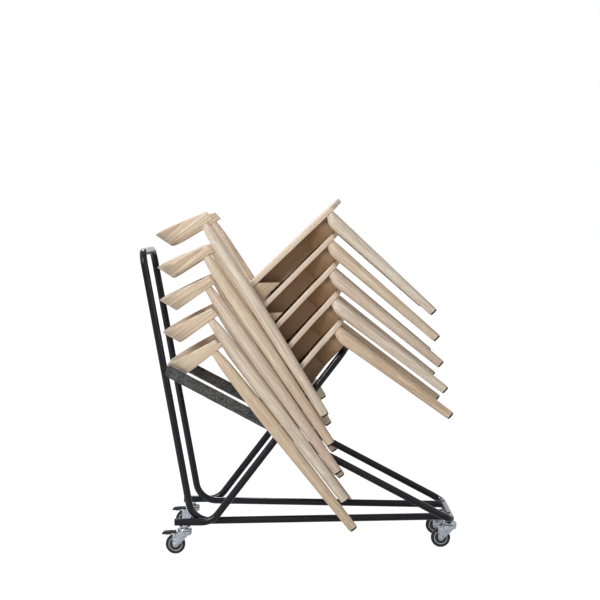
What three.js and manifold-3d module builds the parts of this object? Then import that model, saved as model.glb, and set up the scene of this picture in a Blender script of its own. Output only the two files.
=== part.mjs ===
// Five wooden nesting chairs, stacked on the tube trolley that carries them.
// Millimetres, +Z up, wheels on the floor at Z = 0. X runs from the push handle to the nose.
import * as THREE from "three";
import { mergeVertices } from "three/addons/utils/BufferGeometryUtils.js";
import Module from "manifold-3d";

const wasm = await Module();
wasm.setup();
const { degToRad, lerp, smoothstep } = THREE.MathUtils;
const SIDES = { right: -1, left: 1 };

// Gaps and overruns that every piece shares
const fit = 0.3;
const overrun = 4;
const weld = 0.001;

// Trolley tubes
const tubeDia = 22;
const tubeFacets = 16;
const bendSteps = 4;
const railHalf = 188;
const noseHalf = 108;
const baseLength = 794;
const handleHeight = 917;
const postLean = 10.3;
const postFootBend = 65;
const handleBend = 42;
const railMeetHeight = 562;
const noseBend = 45;
const braceFootReach = 60.5;
const braceTopReach = 470;
const braceTopHeight = 628;
const braceFootBend = 65;
const braceTopBend = 50;
const stubLength = 110;
const capLength = 3;
const capCrown = 1;

// Rail pads
const padHeight = 36;
const padWidth = 26;
const padCorner = 8;
const padEndGap = 3;

// Castors
const castorHeight = 85;
const stemSetback = 28;
const wheelDia = 60;
const wheelWidth = 20;
const tyreDepth = 9;
const treadRound = 3;
const wheelFacets = 20;
const coreFacets = 14;
const trail = 28;
const axleDia = 8;
const axleHead = 2;
const hubDia = 20;
const webDish = 3.5;
const coreRim = 3;
const headDia = 44;
const headRim = 4;
const headCone = 5;
const headFacets = 16;
const stemDia = 16;
const stemLength = 5;
const raceGap = 0.5;
const crownDepth = 4;
const forkPlate = 2.5;
const forkSideGap = 1.7;
const forkToe = 9;
const forkHeel = 13;
const forkHeelDepth = 8;
const forkShoulder = 17;
const forkTopGap = 2.5;

// Brake pedals
const pedalLength = 46;
const pedalStart = 23.5;
const pedalThick = 5;
const pedalTipThick = 3;
const pedalTipDrop = 4;
const pedalLift = 1.5;
const pedalPinDia = 5;
const pedalPinDrop = 7.5;
const pedalPinReach = 31;
const pedalEar = 2.5;
const pedalEarWidth = 10;

// Chair legs
const chairCount = 5;
const legFacets = 12;
const legTubeGap = 3;
const rearLegLength = 676;
const rearLegLean = 11.7;
const rearFootDia = 27.5;
const rearThickDia = 42;
const rearNeckDia = 34.6;
const rearTopDia = 23;
const rearSwellStart = 380;
const rearSwellEnd = 470;
const rearNeckDrop = 44;
const frontLegLean = 4;
const frontFootReach = 450;
const frontFootDia = 26.5;
const frontMidDia = 36;
const frontTopDia = 41;
const frontMidAt = 280;
const frontDomeDepth = 38;
const frontDomeTopDia = 25;
const frontDomeSteps = 3;

// Seat and seat frame
const seatHeight = 442;
const panelThick = 16;
const panelRear = 88;
const panelCornerReach = 450;
const panelNoseReach = 484;
const panelSideGap = 6;
const panelFrontOverlap = 4;
const flareStart = 330;
const flareEnd = 402;
const panelCorner = 14;
const panelEdge = 3;
const dishDepth = 8;
const dishQuarterShare = 0.75;
const dishBorder = 22;
const frameDepth = 63.2;
const railThick = 22;
const rearRailReach = 98;
const frontRailReach = 408;
const sideRailInset = 44;
const blockReach = 22;
const blockBite = 4;
const gussetInset = 2;
const gussetTopReach = 128;
const gussetFootReach = 178;

// Backrest
const armOverhang = 28;
const armHeight = 30;
const armThick = 24;
const bowDepth = 148;
const bowRoundness = 3.1;
const bowStations = 22;
const crestHeight = 62;
const crestThick = 20;
const bowEdge = 4;
const bowLean = 12.4;

// How the chairs lie on the trolley and on each other
const firstTurn = 2.71;
const nestTurn = 1.5;
const postClearance = 11.18;

// Sizes worked out from the ones above
const tubeR = tubeDia / 2;
const tubeZ = castorHeight + tubeR;
const braceHalf = railHalf + tubeDia + fit;
const wheelR = wheelDia / 2;
const rearThickR = rearThickDia / 2;
const legHalf = braceHalf + tubeR + legTubeGap + rearThickR;
const panelHalf = legHalf - rearThickR - panelSideGap;
const panelUnder = seatHeight - panelThick;
const frameTop = panelUnder - fit;
const frameUnder = seatHeight - frameDepth;

function finish(color, roughness, metalness) {
  return new THREE.MeshStandardMaterial({ color, roughness, metalness });
}
const wood = finish(0xd9c8b0, 0.55, 0);
const blackSteel = finish(0x1c1c20, 0.45, 0.3);
const felt = finish(0x4a4a4a, 0.95, 0);
const zinc = finish(0xaab2b8, 0.35, 0.8);
const tyreRubber = finish(0x333436, 0.8, 0);
const corePlastic = finish(0x5b6066, 0.5, 0);
const darkPlastic = finish(0x26272a, 0.5, 0);

const at = (x, y, z) => new THREE.Vector3(x, y, z);

function piece(name, geometry, look) {
  const mesh = new THREE.Mesh(geometry, look.clone());
  mesh.name = name;
  return mesh;
}

// Solids for cutting and joining

function solidOf(geometry) {
  const loose = geometry.index ? geometry.toNonIndexed() : geometry.clone();
  loose.deleteAttribute("normal");
  loose.deleteAttribute("uv");
  const shared = mergeVertices(loose, weld);
  const vertProperties = shared.attributes.position.array;
  const triVerts = new Uint32Array(shared.index.array);
  return new wasm.Manifold(new wasm.Mesh({ numProp: 3, vertProperties, triVerts }));
}

function geometryOf(solid) {
  const mesh = solid.getMesh();
  const geometry = new THREE.BufferGeometry();
  geometry.setAttribute("position", new THREE.BufferAttribute(mesh.vertProperties, mesh.numProp));
  geometry.setIndex(new THREE.BufferAttribute(mesh.triVerts, 1));
  geometry.computeVertexNormals();
  return geometry;
}

function joined(geometries) {
  const [first, ...others] = geometries.map(solidOf);
  return geometryOf(others.reduce((solid, other) => solid.add(other), first));
}

function carved(geometry, tools) {
  return geometryOf(tools.map(solidOf).reduce((solid, tool) => solid.subtract(tool), solidOf(geometry)));
}

// A closed skin over a stack of rings that all have the same even number of points.
function loft(rings) {
  const count = rings[0].length;
  const points = rings.flat();
  const last = points.length - count;
  const faces = [];
  const quad = (a, b, c, d) => faces.push(a, b, c, a, c, d);
  for (let low = 0; low < last; low += count) {
    for (let i = 0; i < count; i += 1) {
      const next = (i + 1) % count;
      quad(low + i, low + next, low + count + next, low + count + i);
    }
  }
  for (let i = 0; i + 1 < count - 1 - i; i += 1) {
    const facing = count - 1 - i;
    quad(i + 1, i, facing, facing - 1);
    quad(last + i, last + i + 1, last + facing - 1, last + facing);
  }
  const geometry = new THREE.BufferGeometry().setFromPoints(points);
  geometry.setIndex(faces);
  geometry.computeVertexNormals();
  return geometry;
}

// A body turned about +Z, from pairs of radius and height, listed upwards.
function turned(profile, facets) {
  const points = profile.map(([radius, height]) => new THREE.Vector2(radius, height));
  return new THREE.LatheGeometry(points, facets).rotateX(Math.PI / 2);
}

function rodBetween(from, to, radius) {
  const span = to.clone().sub(from);
  const rod = new THREE.CylinderGeometry(radius, radius, span.length(), tubeFacets);
  const turn = new THREE.Quaternion().setFromUnitVectors(at(0, 1, 0), span.normalize());
  const middle = from.clone().lerp(to, 0.5);
  return rod.applyQuaternion(turn).translate(middle.x, middle.y, middle.z);
}

function block(low, high) {
  const size = high.clone().sub(low);
  const middle = low.clone().lerp(high, 0.5);
  return new THREE.BoxGeometry(size.x, size.y, size.z).translate(middle.x, middle.y, middle.z);
}

// A flat outline in X and Z, given a thickness across Y about a middle.
function plateAcross(corners, thickness, middle) {
  const outline = new THREE.Shape(corners.map(([x, z]) => new THREE.Vector2(x, z)));
  const plate = new THREE.ExtrudeGeometry(outline, { depth: thickness, bevelEnabled: false });
  return plate.rotateX(Math.PI / 2).translate(0, middle + thickness / 2, 0);
}

function circlePoints(radius) {
  const turns = Array.from({ length: tubeFacets }, (_, i) => (2 * Math.PI * i) / tubeFacets);
  return turns.map((turn) => new THREE.Vector2(radius * Math.cos(turn), radius * Math.sin(turn)));
}

// Tubes

// A path with a ring at each of its stations, and none between them.
class StationPath extends THREE.Curve {
  constructor(stations) {
    super();
    this.stations = stations;
    this.last = stations.length - 1;
  }
  getPointAt(share) {
    return this.stations[Math.round(share * this.last)].clone();
  }
  legFrom(index) {
    return this.stations[index + 1].clone().sub(this.stations[index]).normalize();
  }
  getTangentAt(share) {
    const index = Math.round(share * this.last);
    const before = this.legFrom(Math.max(index - 1, 0));
    return before.add(this.legFrom(Math.min(index, this.last - 1))).normalize();
  }
}

// The points of an arc that rounds the middle one of three corners.
function bendPoints(before, corner, after, radius) {
  const back = before.clone().sub(corner).normalize();
  const ahead = after.clone().sub(corner).normalize();
  const half = back.angleTo(ahead) / 2;
  const centre = back.clone().add(ahead).normalize().multiplyScalar(radius / Math.sin(half)).add(corner);
  const first = back.multiplyScalar(radius / Math.tan(half)).add(corner).sub(centre);
  const last = ahead.multiplyScalar(radius / Math.tan(half)).add(corner).sub(centre);
  const sweep = first.angleTo(last);
  return Array.from({ length: bendSteps + 1 }, (_, step) => {
    const turn = (sweep * step) / bendSteps;
    const spoke = first.clone().multiplyScalar(Math.sin(sweep - turn) / Math.sin(sweep));
    return spoke.addScaledVector(last, Math.sin(turn) / Math.sin(sweep)).add(centre);
  });
}

// A round tube through corners, with a bend radius for each corner between its two ends.
function bentTube(corners, bends) {
  const arcs = bends.map((radius, i) => bendPoints(corners[i], corners[i + 1], corners[i + 2], radius));
  const stations = [corners[0], ...arcs.flat(), corners[corners.length - 1]];
  const extrudePath = new StationPath(stations);
  const section = new THREE.Shape(circlePoints(tubeR));
  return new THREE.ExtrudeGeometry(section, { steps: stations.length - 1, extrudePath, bevelEnabled: false });
}

// The whole of a loop, from the corners of its right half.
const bothHalves = (corners) => [...corners, ...corners.map((p) => at(p.x, -p.y, p.z)).reverse()];

const postSlope = Math.tan(degToRad(postLean));
const railMeet = at(postSlope * (tubeZ - railMeetHeight), 0, railMeetHeight);
const railFoot = at(baseLength, 0, tubeZ);
const railRun = railFoot.clone().sub(railMeet);
const railFall = Math.atan2(-railRun.z, railRun.x);
const braceFoot = at(braceFootReach, 0, tubeZ);
const braceTop = at(braceTopReach, 0, braceTopHeight);
const braceRun = braceTop.clone().sub(braceFoot);
const braceRise = Math.atan2(braceRun.z, braceRun.x);

// A point of a post's middle line. The posts' foot is found from the nest, further down.
const postPoint = (side, height) => at(postFoot + postSlope * (tubeZ - height), side * railHalf, height);

// Where a rail meets its post: at its named height when the posts' foot is at X = 0.
function railTop(side) {
  const along = postFoot / (railRun.x + postSlope * railRun.z);
  return railMeet.clone().addScaledVector(railRun, along).setY(side * railHalf);
}

// The posts, the push handle over them, and the base tubes that run in to the nose bar.
function handleLoop() {
  const half = [at(baseLength, -noseHalf, tubeZ), postPoint(-1, tubeZ), postPoint(-1, handleHeight)];
  const tube = bentTube(bothHalves(half), [postFootBend, handleBend, handleBend, postFootBend]);
  const noseBar = rodBetween(at(baseLength, -railHalf, tubeZ), at(baseLength, railHalf, tubeZ), tubeR + fit);
  return carved(tube, [noseBar]);
}

// The two sloping rails and the nose bar that joins them.
function railLoop() {
  const foot = railFoot.clone().setY(-railHalf);
  const tube = bentTube(bothHalves([railTop(-1), foot]), [noseBend, noseBend]);
  const post = (side) => rodBetween(postPoint(side, tubeZ), postPoint(side, handleHeight), tubeR + fit);
  return carved(tube, Object.values(SIDES).map(post));
}

// The braces that carry the chairs: a bar across the top, and a stub at each foot over a castor.
function braceLoop() {
  const across = at(0, -braceHalf, 0);
  const foot = braceFoot.clone().add(across);
  const half = [at(-stubLength, 0, 0).add(foot), foot, braceTop.clone().add(across)];
  return bentTube(bothHalves(half), [braceFootBend, braceTopBend, braceTopBend, braceFootBend]);
}

function stubCap(side) {
  const profile = [
    [0, 0],
    [tubeR, 0],
    [tubeR, capLength - capCrown],
    [tubeR - capCrown, capLength],
    [0, capLength],
  ];
  const cap = turned(profile, tubeFacets).rotateY(-Math.PI / 2);
  return cap.translate(braceFootReach - stubLength - fit, side * braceHalf, tubeZ);
}

// How far down the rail its crossing with the brace lies in side view.
function railToBrace() {
  const toBrace = braceFoot.clone().sub(railTop(-1));
  const turn = (a, b) => a.x * b.z - a.z * b.x;
  return (Math.hypot(railRun.x, railRun.z) * turn(toBrace, braceRun)) / turn(railRun, braceRun);
}

// The felt sleeve on a rail, from the post down to the brace.
function railPad(side) {
  const [across, up] = [padWidth / 2 - padCorner, padHeight / 2 - padCorner];
  const section = new THREE.Shape();
  section.absarc(across, up, padCorner, 0, Math.PI / 2);
  section.absarc(-across, up, padCorner, Math.PI / 2, Math.PI);
  section.absarc(-across, -up, padCorner, Math.PI, 1.5 * Math.PI);
  section.absarc(across, -up, padCorner, 1.5 * Math.PI, 2 * Math.PI);
  section.holes.push(new THREE.Path(circlePoints(tubeR + fit)));
  const crossing = railFall + braceRise;
  const braceShare = tubeR / Math.sin(crossing) + padHeight / 2 / Math.tan(crossing);
  const depth = railToBrace() - Math.abs(braceShare) - padEndGap;
  const sleeve = new THREE.ExtrudeGeometry(section, { depth, bevelEnabled: false, curveSegments: 1 });
  const down = at(Math.cos(railFall), 0, -Math.sin(railFall));
  const sideways = at(0, 1, 0);
  sleeve.applyMatrix4(new THREE.Matrix4().makeBasis(sideways, down.clone().cross(sideways), down));
  const start = railTop(side);
  const trim = new THREE.BoxGeometry(padHeight + tubeDia, padWidth + overrun, 2 * padHeight);
  trim.translate(fit - padHeight / 2, 0, 0).rotateY(-degToRad(postLean));
  return carved(sleeve, [trim]).translate(start.x, start.y, start.z);
}

// Castors, each about its own stem: on the floor, with the wheel trailing towards -X

const coneTop = castorHeight - fit - stemLength;
const headUnder = coneTop - headCone - headRim;
const crownTop = headUnder - raceGap;
const crownUnder = crownTop - crownDepth;
const plateTop = wheelDia + forkTopGap;
const forkInner = wheelWidth / 2 + forkSideGap;
const forkOuter = forkInner + forkPlate;
const pinHeight = plateTop - pedalPinDrop;

function castorStem() {
  const profile = [
    [0, headUnder],
    [headDia / 2, headUnder],
    [headDia / 2, headUnder + headRim],
    [stemDia / 2, coneTop],
    [stemDia / 2, castorHeight - fit],
    [0, castorHeight - fit],
  ];
  return turned(profile, headFacets);
}

function forkCheek(side) {
  const outline = [
    [forkHeel, crownTop - crownDepth / 2],
    [-forkShoulder, crownTop - crownDepth / 2],
    [-forkShoulder, plateTop],
    [-trail - forkToe, plateTop],
    [-trail - forkToe, wheelR],
    [-trail - forkToe / 2, wheelR - forkToe],
    [-trail + forkToe / 2, wheelR - forkToe],
    [forkHeel, plateTop - forkHeelDepth],
  ];
  return plateAcross(outline, forkPlate, side * (forkInner + forkPlate / 2));
}

function castorFork(braked) {
  const disc = [[0, crownUnder], [headDia / 2, crownUnder], [headDia / 2, crownTop], [0, crownTop]];
  const crown = turned(disc, headFacets);
  const axleReach = forkOuter + axleHead;
  const axle = rodBetween(at(-trail, -axleReach, wheelR), at(-trail, axleReach, wheelR), axleDia / 2);
  const solids = [crown, ...Object.values(SIDES).map(forkCheek), axle];
  if (!braked) return joined(solids);
  for (const side of Object.values(SIDES)) {
    const pinStart = at(-pedalPinReach, side * (forkOuter - forkPlate / 2), pinHeight);
    const pinEnd = at(-pedalPinReach, side * (forkOuter + fit + pedalEar), pinHeight);
    solids.push(rodBetween(pinStart, pinEnd, pedalPinDia / 2));
  }
  return joined(solids);
}

function wheelCore() {
  const [bore, hub, rim] = [axleDia / 2 + fit, hubDia / 2, wheelR - tyreDepth];
  const half = wheelWidth / 2;
  const side = [
    [bore, half],
    [hub, half],
    [hub, half - webDish],
    [rim - coreRim, half - webDish],
    [rim - coreRim, half - webDish / 2],
    [rim, half - webDish / 2],
  ];
  const outline = [...side, ...side.map(([radius, height]) => [radius, -height]).reverse(), side[0]];
  return turned(outline.reverse(), coreFacets).rotateX(Math.PI / 2);
}

function tyre() {
  const inner = wheelR - tyreDepth + fit;
  const half = wheelWidth / 2;
  const side = [
    [inner, half - webDish / 2],
    [inner + treadRound, half],
    [wheelR - treadRound, half],
    [wheelR, half - treadRound],
  ];
  const outline = [...side, ...side.map(([radius, height]) => [radius, -height]).reverse(), side[0]];
  return turned(outline.reverse(), wheelFacets).rotateX(Math.PI / 2);
}

// A brake pedal: a tread over the wheel, with an ear on each side of the fork.
function brakePedal() {
  const under = plateTop + pedalLift;
  const tip = -pedalStart - pedalLength;
  const tread = [
    [-pedalStart, under],
    [-pedalStart, under + pedalThick],
    [-pedalPinReach - pedalEarWidth, under + pedalThick],
    [tip, under + pedalTipThick - pedalTipDrop],
    [tip, under - pedalTipDrop],
    [-pedalPinReach - pedalEarWidth, under],
  ];
  const earReach = pedalEarWidth / 2;
  const ear = [
    [-pedalPinReach + earReach, under + pedalThick / 2],
    [-pedalPinReach - earReach, under + pedalThick / 2],
    [-pedalPinReach - earReach, pinHeight - earReach],
    [-pedalPinReach + earReach, pinHeight - earReach],
  ];
  const earMiddle = forkOuter + fit + pedalEar / 2;
  const solids = Object.values(SIDES).map((side) => plateAcross(ear, pedalEar, side * earMiddle));
  const width = 2 * (earMiddle + pedalEar / 2);
  const pin = rodBetween(
    at(-pedalPinReach, -width, pinHeight),
    at(-pedalPinReach, width, pinHeight),
    pedalPinDia / 2 + fit,
  );
  return carved(joined([plateAcross(tread, width, 0), ...solids]), [pin]);
}

function castor(name, x, y, braked) {
  const group = new THREE.Group();
  group.position.set(x, y, 0);
  const wheel = new THREE.Group();
  wheel.position.set(-trail, 0, wheelR);
  wheel.add(piece(`${name}_core`, wheelCore(), corePlastic), piece(`${name}_tyre`, tyre(), tyreRubber));
  group.add(piece(`${name}_stem`, castorStem(), zinc));
  group.add(piece(`${name}_fork`, castorFork(braked), zinc), wheel);
  if (braked) group.add(piece(`${name}_pedal`, brakePedal(), darkPlastic));
  return group;
}

// Chair pieces, about the point of the floor midway between the rear feet, with X forward

function rearLeg(side, growth = 0) {
  const sizes = [
    [rearFootDia, 0],
    [rearThickDia, rearSwellStart],
    [rearThickDia, rearSwellEnd],
    [rearNeckDia, rearLegLength - rearNeckDrop],
    [rearTopDia, rearLegLength],
  ];
  const profile = sizes.map(([dia, height]) => [dia / 2 + growth, height]);
  const leg = turned([[0, 0], ...profile, [0, rearLegLength]], legFacets);
  return leg.rotateY(degToRad(rearLegLean)).translate(0, side * legHalf, 0);
}

// A front leg leans back as it rises, and the back of its top is rounded off.
function frontLeg(side, growth = 0) {
  const slope = Math.tan(degToRad(frontLegLean));
  const ring = (height, dia, advance) => {
    const middle = frontFootReach - slope * height + advance;
    return Array.from({ length: legFacets }, (_, i) => {
      const turn = (2 * Math.PI * i) / legFacets;
      const radius = dia / 2 + growth;
      return at(middle + radius * Math.cos(turn), side * legHalf + radius * Math.sin(turn), height);
    });
  };
  const domeStart = frameTop - frontDomeDepth;
  const rings = [ring(0, frontFootDia, 0), ring(frontMidAt, frontMidDia, 0), ring(domeStart, frontTopDia, 0)];
  for (let step = 1; step <= frontDomeSteps; step += 1) {
    const share = step / frontDomeSteps;
    const dia = lerp(frontTopDia, frontDomeTopDia, share * share);
    rings.push(ring(domeStart + share * frontDomeDepth, dia, (frontTopDia - dia) / 2));
  }
  return loft(rings);
}

const railOuter = panelHalf - sideRailInset;
const railInner = railOuter - railThick;

// The block at a rear corner. Its front is cut on the slant, and a short step reaches into the rear leg.
function cornerBlock(side) {
  const gussetEnd = panelHalf - gussetInset;
  const middle = (gussetEnd + railInner + railThick / 2) / 2;
  const outline = [
    [rearRailReach, frameUnder],
    [gussetFootReach, frameUnder],
    [gussetTopReach, frameTop],
    [rearRailReach, frameTop],
  ];
  const gusset = plateAcross(outline, 2 * (gussetEnd - middle), side * middle);
  const stepEnd = legHalf - rearThickR + blockBite;
  const ends = [side * (gussetEnd - railThick / 4), side * stepEnd];
  const low = at(rearRailReach - blockReach, Math.min(...ends), frameUnder);
  return joined([gusset, block(low, at(rearRailReach + railThick / 4, Math.max(...ends), frameTop))]);
}

// The rails under the seat, set in from its edge, and the blocks that join them to the rear legs.
// They also clear the legs of the next chair, which pass close by.
function seatFrame() {
  const frontEnd = legHalf - frontTopDia / 4;
  const rail = (fromX, fromY, toX, toY) => block(at(fromX, fromY, frameUnder), at(toX, toY, frameTop));
  const rails = [
    rail(frontRailReach - railThick, -frontEnd, frontRailReach, frontEnd),
    rail(rearRailReach, -railOuter, rearRailReach + railThick, railOuter),
    rail(rearRailReach, railInner, frontRailReach, railOuter),
    rail(rearRailReach, -railOuter, frontRailReach, -railInner),
  ];
  const ownLegs = () => Object.values(SIDES).flatMap((side) => [frontLeg(side, fit), rearLeg(side, fit)]);
  const step = nestStep();
  const nextLegs = ownLegs().map((leg) => leg.rotateY(degToRad(nestTurn)).translate(step.x, step.y, step.z));
  return carved(joined([...rails, ...Object.values(SIDES).map(cornerBlock)]), [...ownLegs(), ...nextLegs]);
}

// How far the panel's side runs in at its corners, at a distance from the nearer end.
function cornerInset(distance) {
  const short = Math.max(panelCorner - distance, 0);
  return panelCorner - Math.sqrt(panelCorner * panelCorner - short * short);
}

// One line across the panel, at a distance from the rear along its side: the top, then back underneath.
function panelRing(reach) {
  const length = panelCornerReach - panelRear;
  const share = reach / length;
  const flare = smoothstep(panelRear + reach, flareStart, flareEnd);
  const endGap = Math.min(reach, length - reach);
  const half = lerp(panelHalf, legHalf + panelFrontOverlap, flare) - cornerInset(endGap);
  const dishHalf = half - dishBorder;
  const dishPlace = (2 * reach - length) / (length - 2 * dishBorder);
  const dish = dishDepth * Math.max(1 - dishPlace * dishPlace, 0);
  const top = seatHeight - (endGap > 0 ? 0 : panelEdge);
  const x = (y) => panelRear + share * (lerp(panelNoseReach, panelCornerReach, (y / half) ** 2) - panelRear);
  const rows = [
    [half, top - panelEdge],
    [half - panelEdge, top],
    [dishHalf, top],
    [dishHalf / 2, top - dishQuarterShare * dish],
    [0, top - dish],
  ];
  const upper = [...rows, ...rows.slice(0, -1).reverse().map(([y, z]) => [-y, z])];
  const lower = upper.map(([y]) => [y, panelUnder]).reverse();
  return [...upper, ...lower].map(([y, z]) => at(x(y), y, z));
}

// The seat panel: dished on top, wider over the front legs, with a curved front edge.
function seatPanel() {
  const length = panelCornerReach - panelRear;
  const flareStations = [flareStart, (flareStart + flareEnd) / 2, flareEnd].map((reach) => reach - panelRear);
  const corner = [0, panelCorner * (1 - Math.SQRT1_2), panelCorner];
  const dishShares = [1 / 3, 2 / 3];
  const dishStations = dishShares.map((share) => lerp(dishBorder, flareStations[0], share));
  const ends = corner.map((reach) => length - reach).reverse();
  const stations = [...corner, dishBorder, ...dishStations, ...flareStations, length - dishBorder, ...ends];
  return loft(stations.map(panelRing));
}

const legTop = at(0, 0, rearLegLength).applyAxisAngle(at(0, 1, 0), degToRad(rearLegLean));
const armReach = legTop.x + armOverhang;

// The backrest's section at a turn from the middle of the back: -90 and 90 degrees are the arm ends.
function bowRing(turn) {
  const [c, s] = [Math.max(Math.cos(turn), 0), Math.sin(turn)];
  const power = 2 / bowRoundness;
  const depthShare = c ** power;
  const middle = at(armReach - bowDepth * depthShare, Math.sign(s) * legHalf * Math.abs(s) ** power, 0);
  const across = Math.sign(s) * Math.abs(s) ** (2 - power);
  const outward = at(-(c ** (2 - power)) / bowDepth, across / legHalf, 0).normalize();
  const half = lerp(armThick, crestThick, depthShare) / 2;
  const height = lerp(armHeight, crestHeight, depthShare);
  const section = [
    [-half, bowEdge],
    [bowEdge - half, 0],
    [half - bowEdge, 0],
    [half, bowEdge],
    [half, height - bowEdge],
    [half - bowEdge, height],
    [bowEdge - half, height],
    [-half, height - bowEdge],
  ];
  return section.map(([out, up]) => {
    const foot = middle.clone().addScaledVector(outward, out);
    const seat = legTop.z + fit + (legTop.x - foot.x) * Math.tan(degToRad(rearLegLean));
    return at(foot.x - up * Math.tan(degToRad(bowLean)), foot.y, seat + up);
  });
}

// The backrest: one bent board that runs round the back and forward over the rear legs.
function backrest() {
  const rings = Array.from({ length: bowStations + 1 }, (_, i) => bowRing(Math.PI * (i / bowStations - 0.5)));
  return loft(rings);
}

const chairShapes = {
  backrest: backrest(),
  seat: seatPanel(),
  seat_frame: seatFrame(),
  rear_leg_right: rearLeg(SIDES.right),
  rear_leg_left: rearLeg(SIDES.left),
  front_leg_right: frontLeg(SIDES.right),
  front_leg_left: frontLeg(SIDES.left),
};

// How far a shape reaches back along a direction, over its strip between two Y values.
function leastReach(geometry, direction, low, high) {
  const { position } = geometry.toNonIndexed().attributes;
  const corner = (i) => at(0, 0, 0).fromBufferAttribute(position, i);
  let least = Infinity;
  for (let i = 0; i < position.count; i += 1) {
    const [from, to] = [corner(i), corner(i % 3 === 2 ? i - 2 : i + 1)];
    const shares = [0, ...[low, high].map((y) => (y - from.y) / (to.y - from.y))];
    for (const share of shares.filter((value) => value >= 0 && value < 1)) {
      const point = from.clone().lerp(to, share);
      const inside = point.y > low - weld && point.y < high + weld;
      if (inside) least = Math.min(least, point.dot(direction));
    }
  }
  return least;
}

const firstTilt = braceRise - degToRad(firstTurn);

// Where the first chair's origin lies: its front rail on the brace's bar, its backrest on the pads.
function firstPlace() {
  const tilt = firstTilt;
  const turnToChair = (v) => v.clone().applyAxisAngle(at(0, 1, 0), tilt);
  const up = at(-Math.sin(tilt), 0, Math.cos(tilt));
  const padNormal = at(Math.sin(railFall), 0, Math.cos(railFall));
  const upDistance = braceTop.dot(up) + tubeR + fit - frameUnder;
  const padHalf = padWidth / 2;
  const inChair = turnToChair(padNormal);
  const strip = [railHalf - padHalf, railHalf + padHalf];
  const reach = Math.min(...Object.values(chairShapes).map((shape) => leastReach(shape, inChair, ...strip)));
  const padDistance = railMeet.dot(padNormal) + padHeight / 2 + fit - reach;
  const spread = up.x * padNormal.z - up.z * padNormal.x;
  const x = (upDistance * padNormal.z - padDistance * up.z) / spread;
  return at(x, 0, (up.x * padDistance - padNormal.x * upDistance) / spread);
}

// The next chair's origin, seen from the one below: front rail on its seat, rear legs against its own.
// The rear legs meet where the lower one has reached its full thickness.
function nestStep() {
  const [turn, lean] = [degToRad(nestTurn), degToRad(rearLegLean)];
  const z = seatHeight + fit + frontRailReach * Math.sin(turn) - frameUnder * Math.cos(turn);
  const rise = z / Math.cos(lean) + rearThickDia * Math.tan(lean);
  const taper = (rearThickDia - rearFootDia) / 2 / rearSwellStart;
  const parting = (rearSwellStart - rise) * Math.sin(turn) + rise * Math.min(taper, Math.sin(turn));
  const legGap = rearThickDia + fit - parting;
  return at((legGap + z * Math.sin(lean)) / Math.cos(lean), 0, z);
}

function chair(number) {
  const group = new THREE.Group();
  for (const [part, shape] of Object.entries(chairShapes)) {
    group.add(piece(`chair_${number}_${part}`, shape, wood));
  }
  return group;
}

// Each chair is placed in the frame of the one below it.
function nestedChairs() {
  const first = chair(1);
  first.position.copy(firstPlace());
  first.rotation.y = -firstTilt;
  let below = first;
  for (let number = 2; number <= chairCount; number += 1) {
    const next = chair(number);
    next.position.copy(nestStep());
    next.rotation.y = degToRad(nestTurn);
    below.add(next);
    below = next;
  }
  return first;
}

const nest = nestedChairs();
nest.updateMatrixWorld(true);

// How far the nest reaches back along a direction, over a strip between two Y values.
function nestReach(direction, low, high) {
  const reaches = [];
  nest.traverse((part) => {
    if (!part.isMesh) return;
    const inChair = direction.clone().transformDirection(part.matrixWorld.clone().invert());
    const place = at(0, 0, 0).setFromMatrixPosition(part.matrixWorld);
    reaches.push(place.dot(direction) + leastReach(part.geometry, inChair, low, high));
  });
  return Math.min(...reaches);
}

// The posts stand a clearance behind the nested backrests.
const postNormal = at(1, 0, postSlope).normalize();
const postReach = nestReach(postNormal, railHalf - tubeR, railHalf + tubeR) - postClearance - tubeR;
const postFoot = postReach / postNormal.x - postSlope * tubeZ;

function trolley() {
  const group = new THREE.Group();
  group.add(piece("handle_loop", handleLoop(), blackSteel));
  group.add(piece("rail_loop", railLoop(), blackSteel));
  group.add(piece("brace_loop", braceLoop(), blackSteel));
  for (const [name, side] of Object.entries(SIDES)) {
    group.add(piece(`rail_pad_${name}`, railPad(side), felt));
    group.add(piece(`stub_cap_${name}`, stubCap(side), darkPlastic));
    const stubStem = braceFootReach - stubLength + stemSetback;
    group.add(castor(`castor_handle_${name}`, stubStem, side * braceHalf, true));
    group.add(castor(`castor_nose_${name}`, baseLength, side * noseHalf, false));
  }
  return group;
}

const model = new THREE.Group();
model.add(trolley(), nest);
const extent = new THREE.Box3().setFromObject(model);
model.position.x = -(extent.min.x + extent.max.x) / 2;

export default model;
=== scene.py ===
# %% [markdown]
# # Five nesting armchairs on their trolley
#
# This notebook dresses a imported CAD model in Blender. The CAD gives every piece its place. Each step
# then makes the same piece again as it looks on the real object: round where the CAD has flat facets,
# with wood grain, powder coat, felt and zinc.
#
# Every shape is modelled in millimetres and brought down to metres at the very end, so that the
# numbers read like those on a drawing.

# %% Load the frame
import math

import bmesh
import bpy
import numpy
from mathutils import Matrix, Vector
from mathutils.kdtree import KDTree


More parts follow.
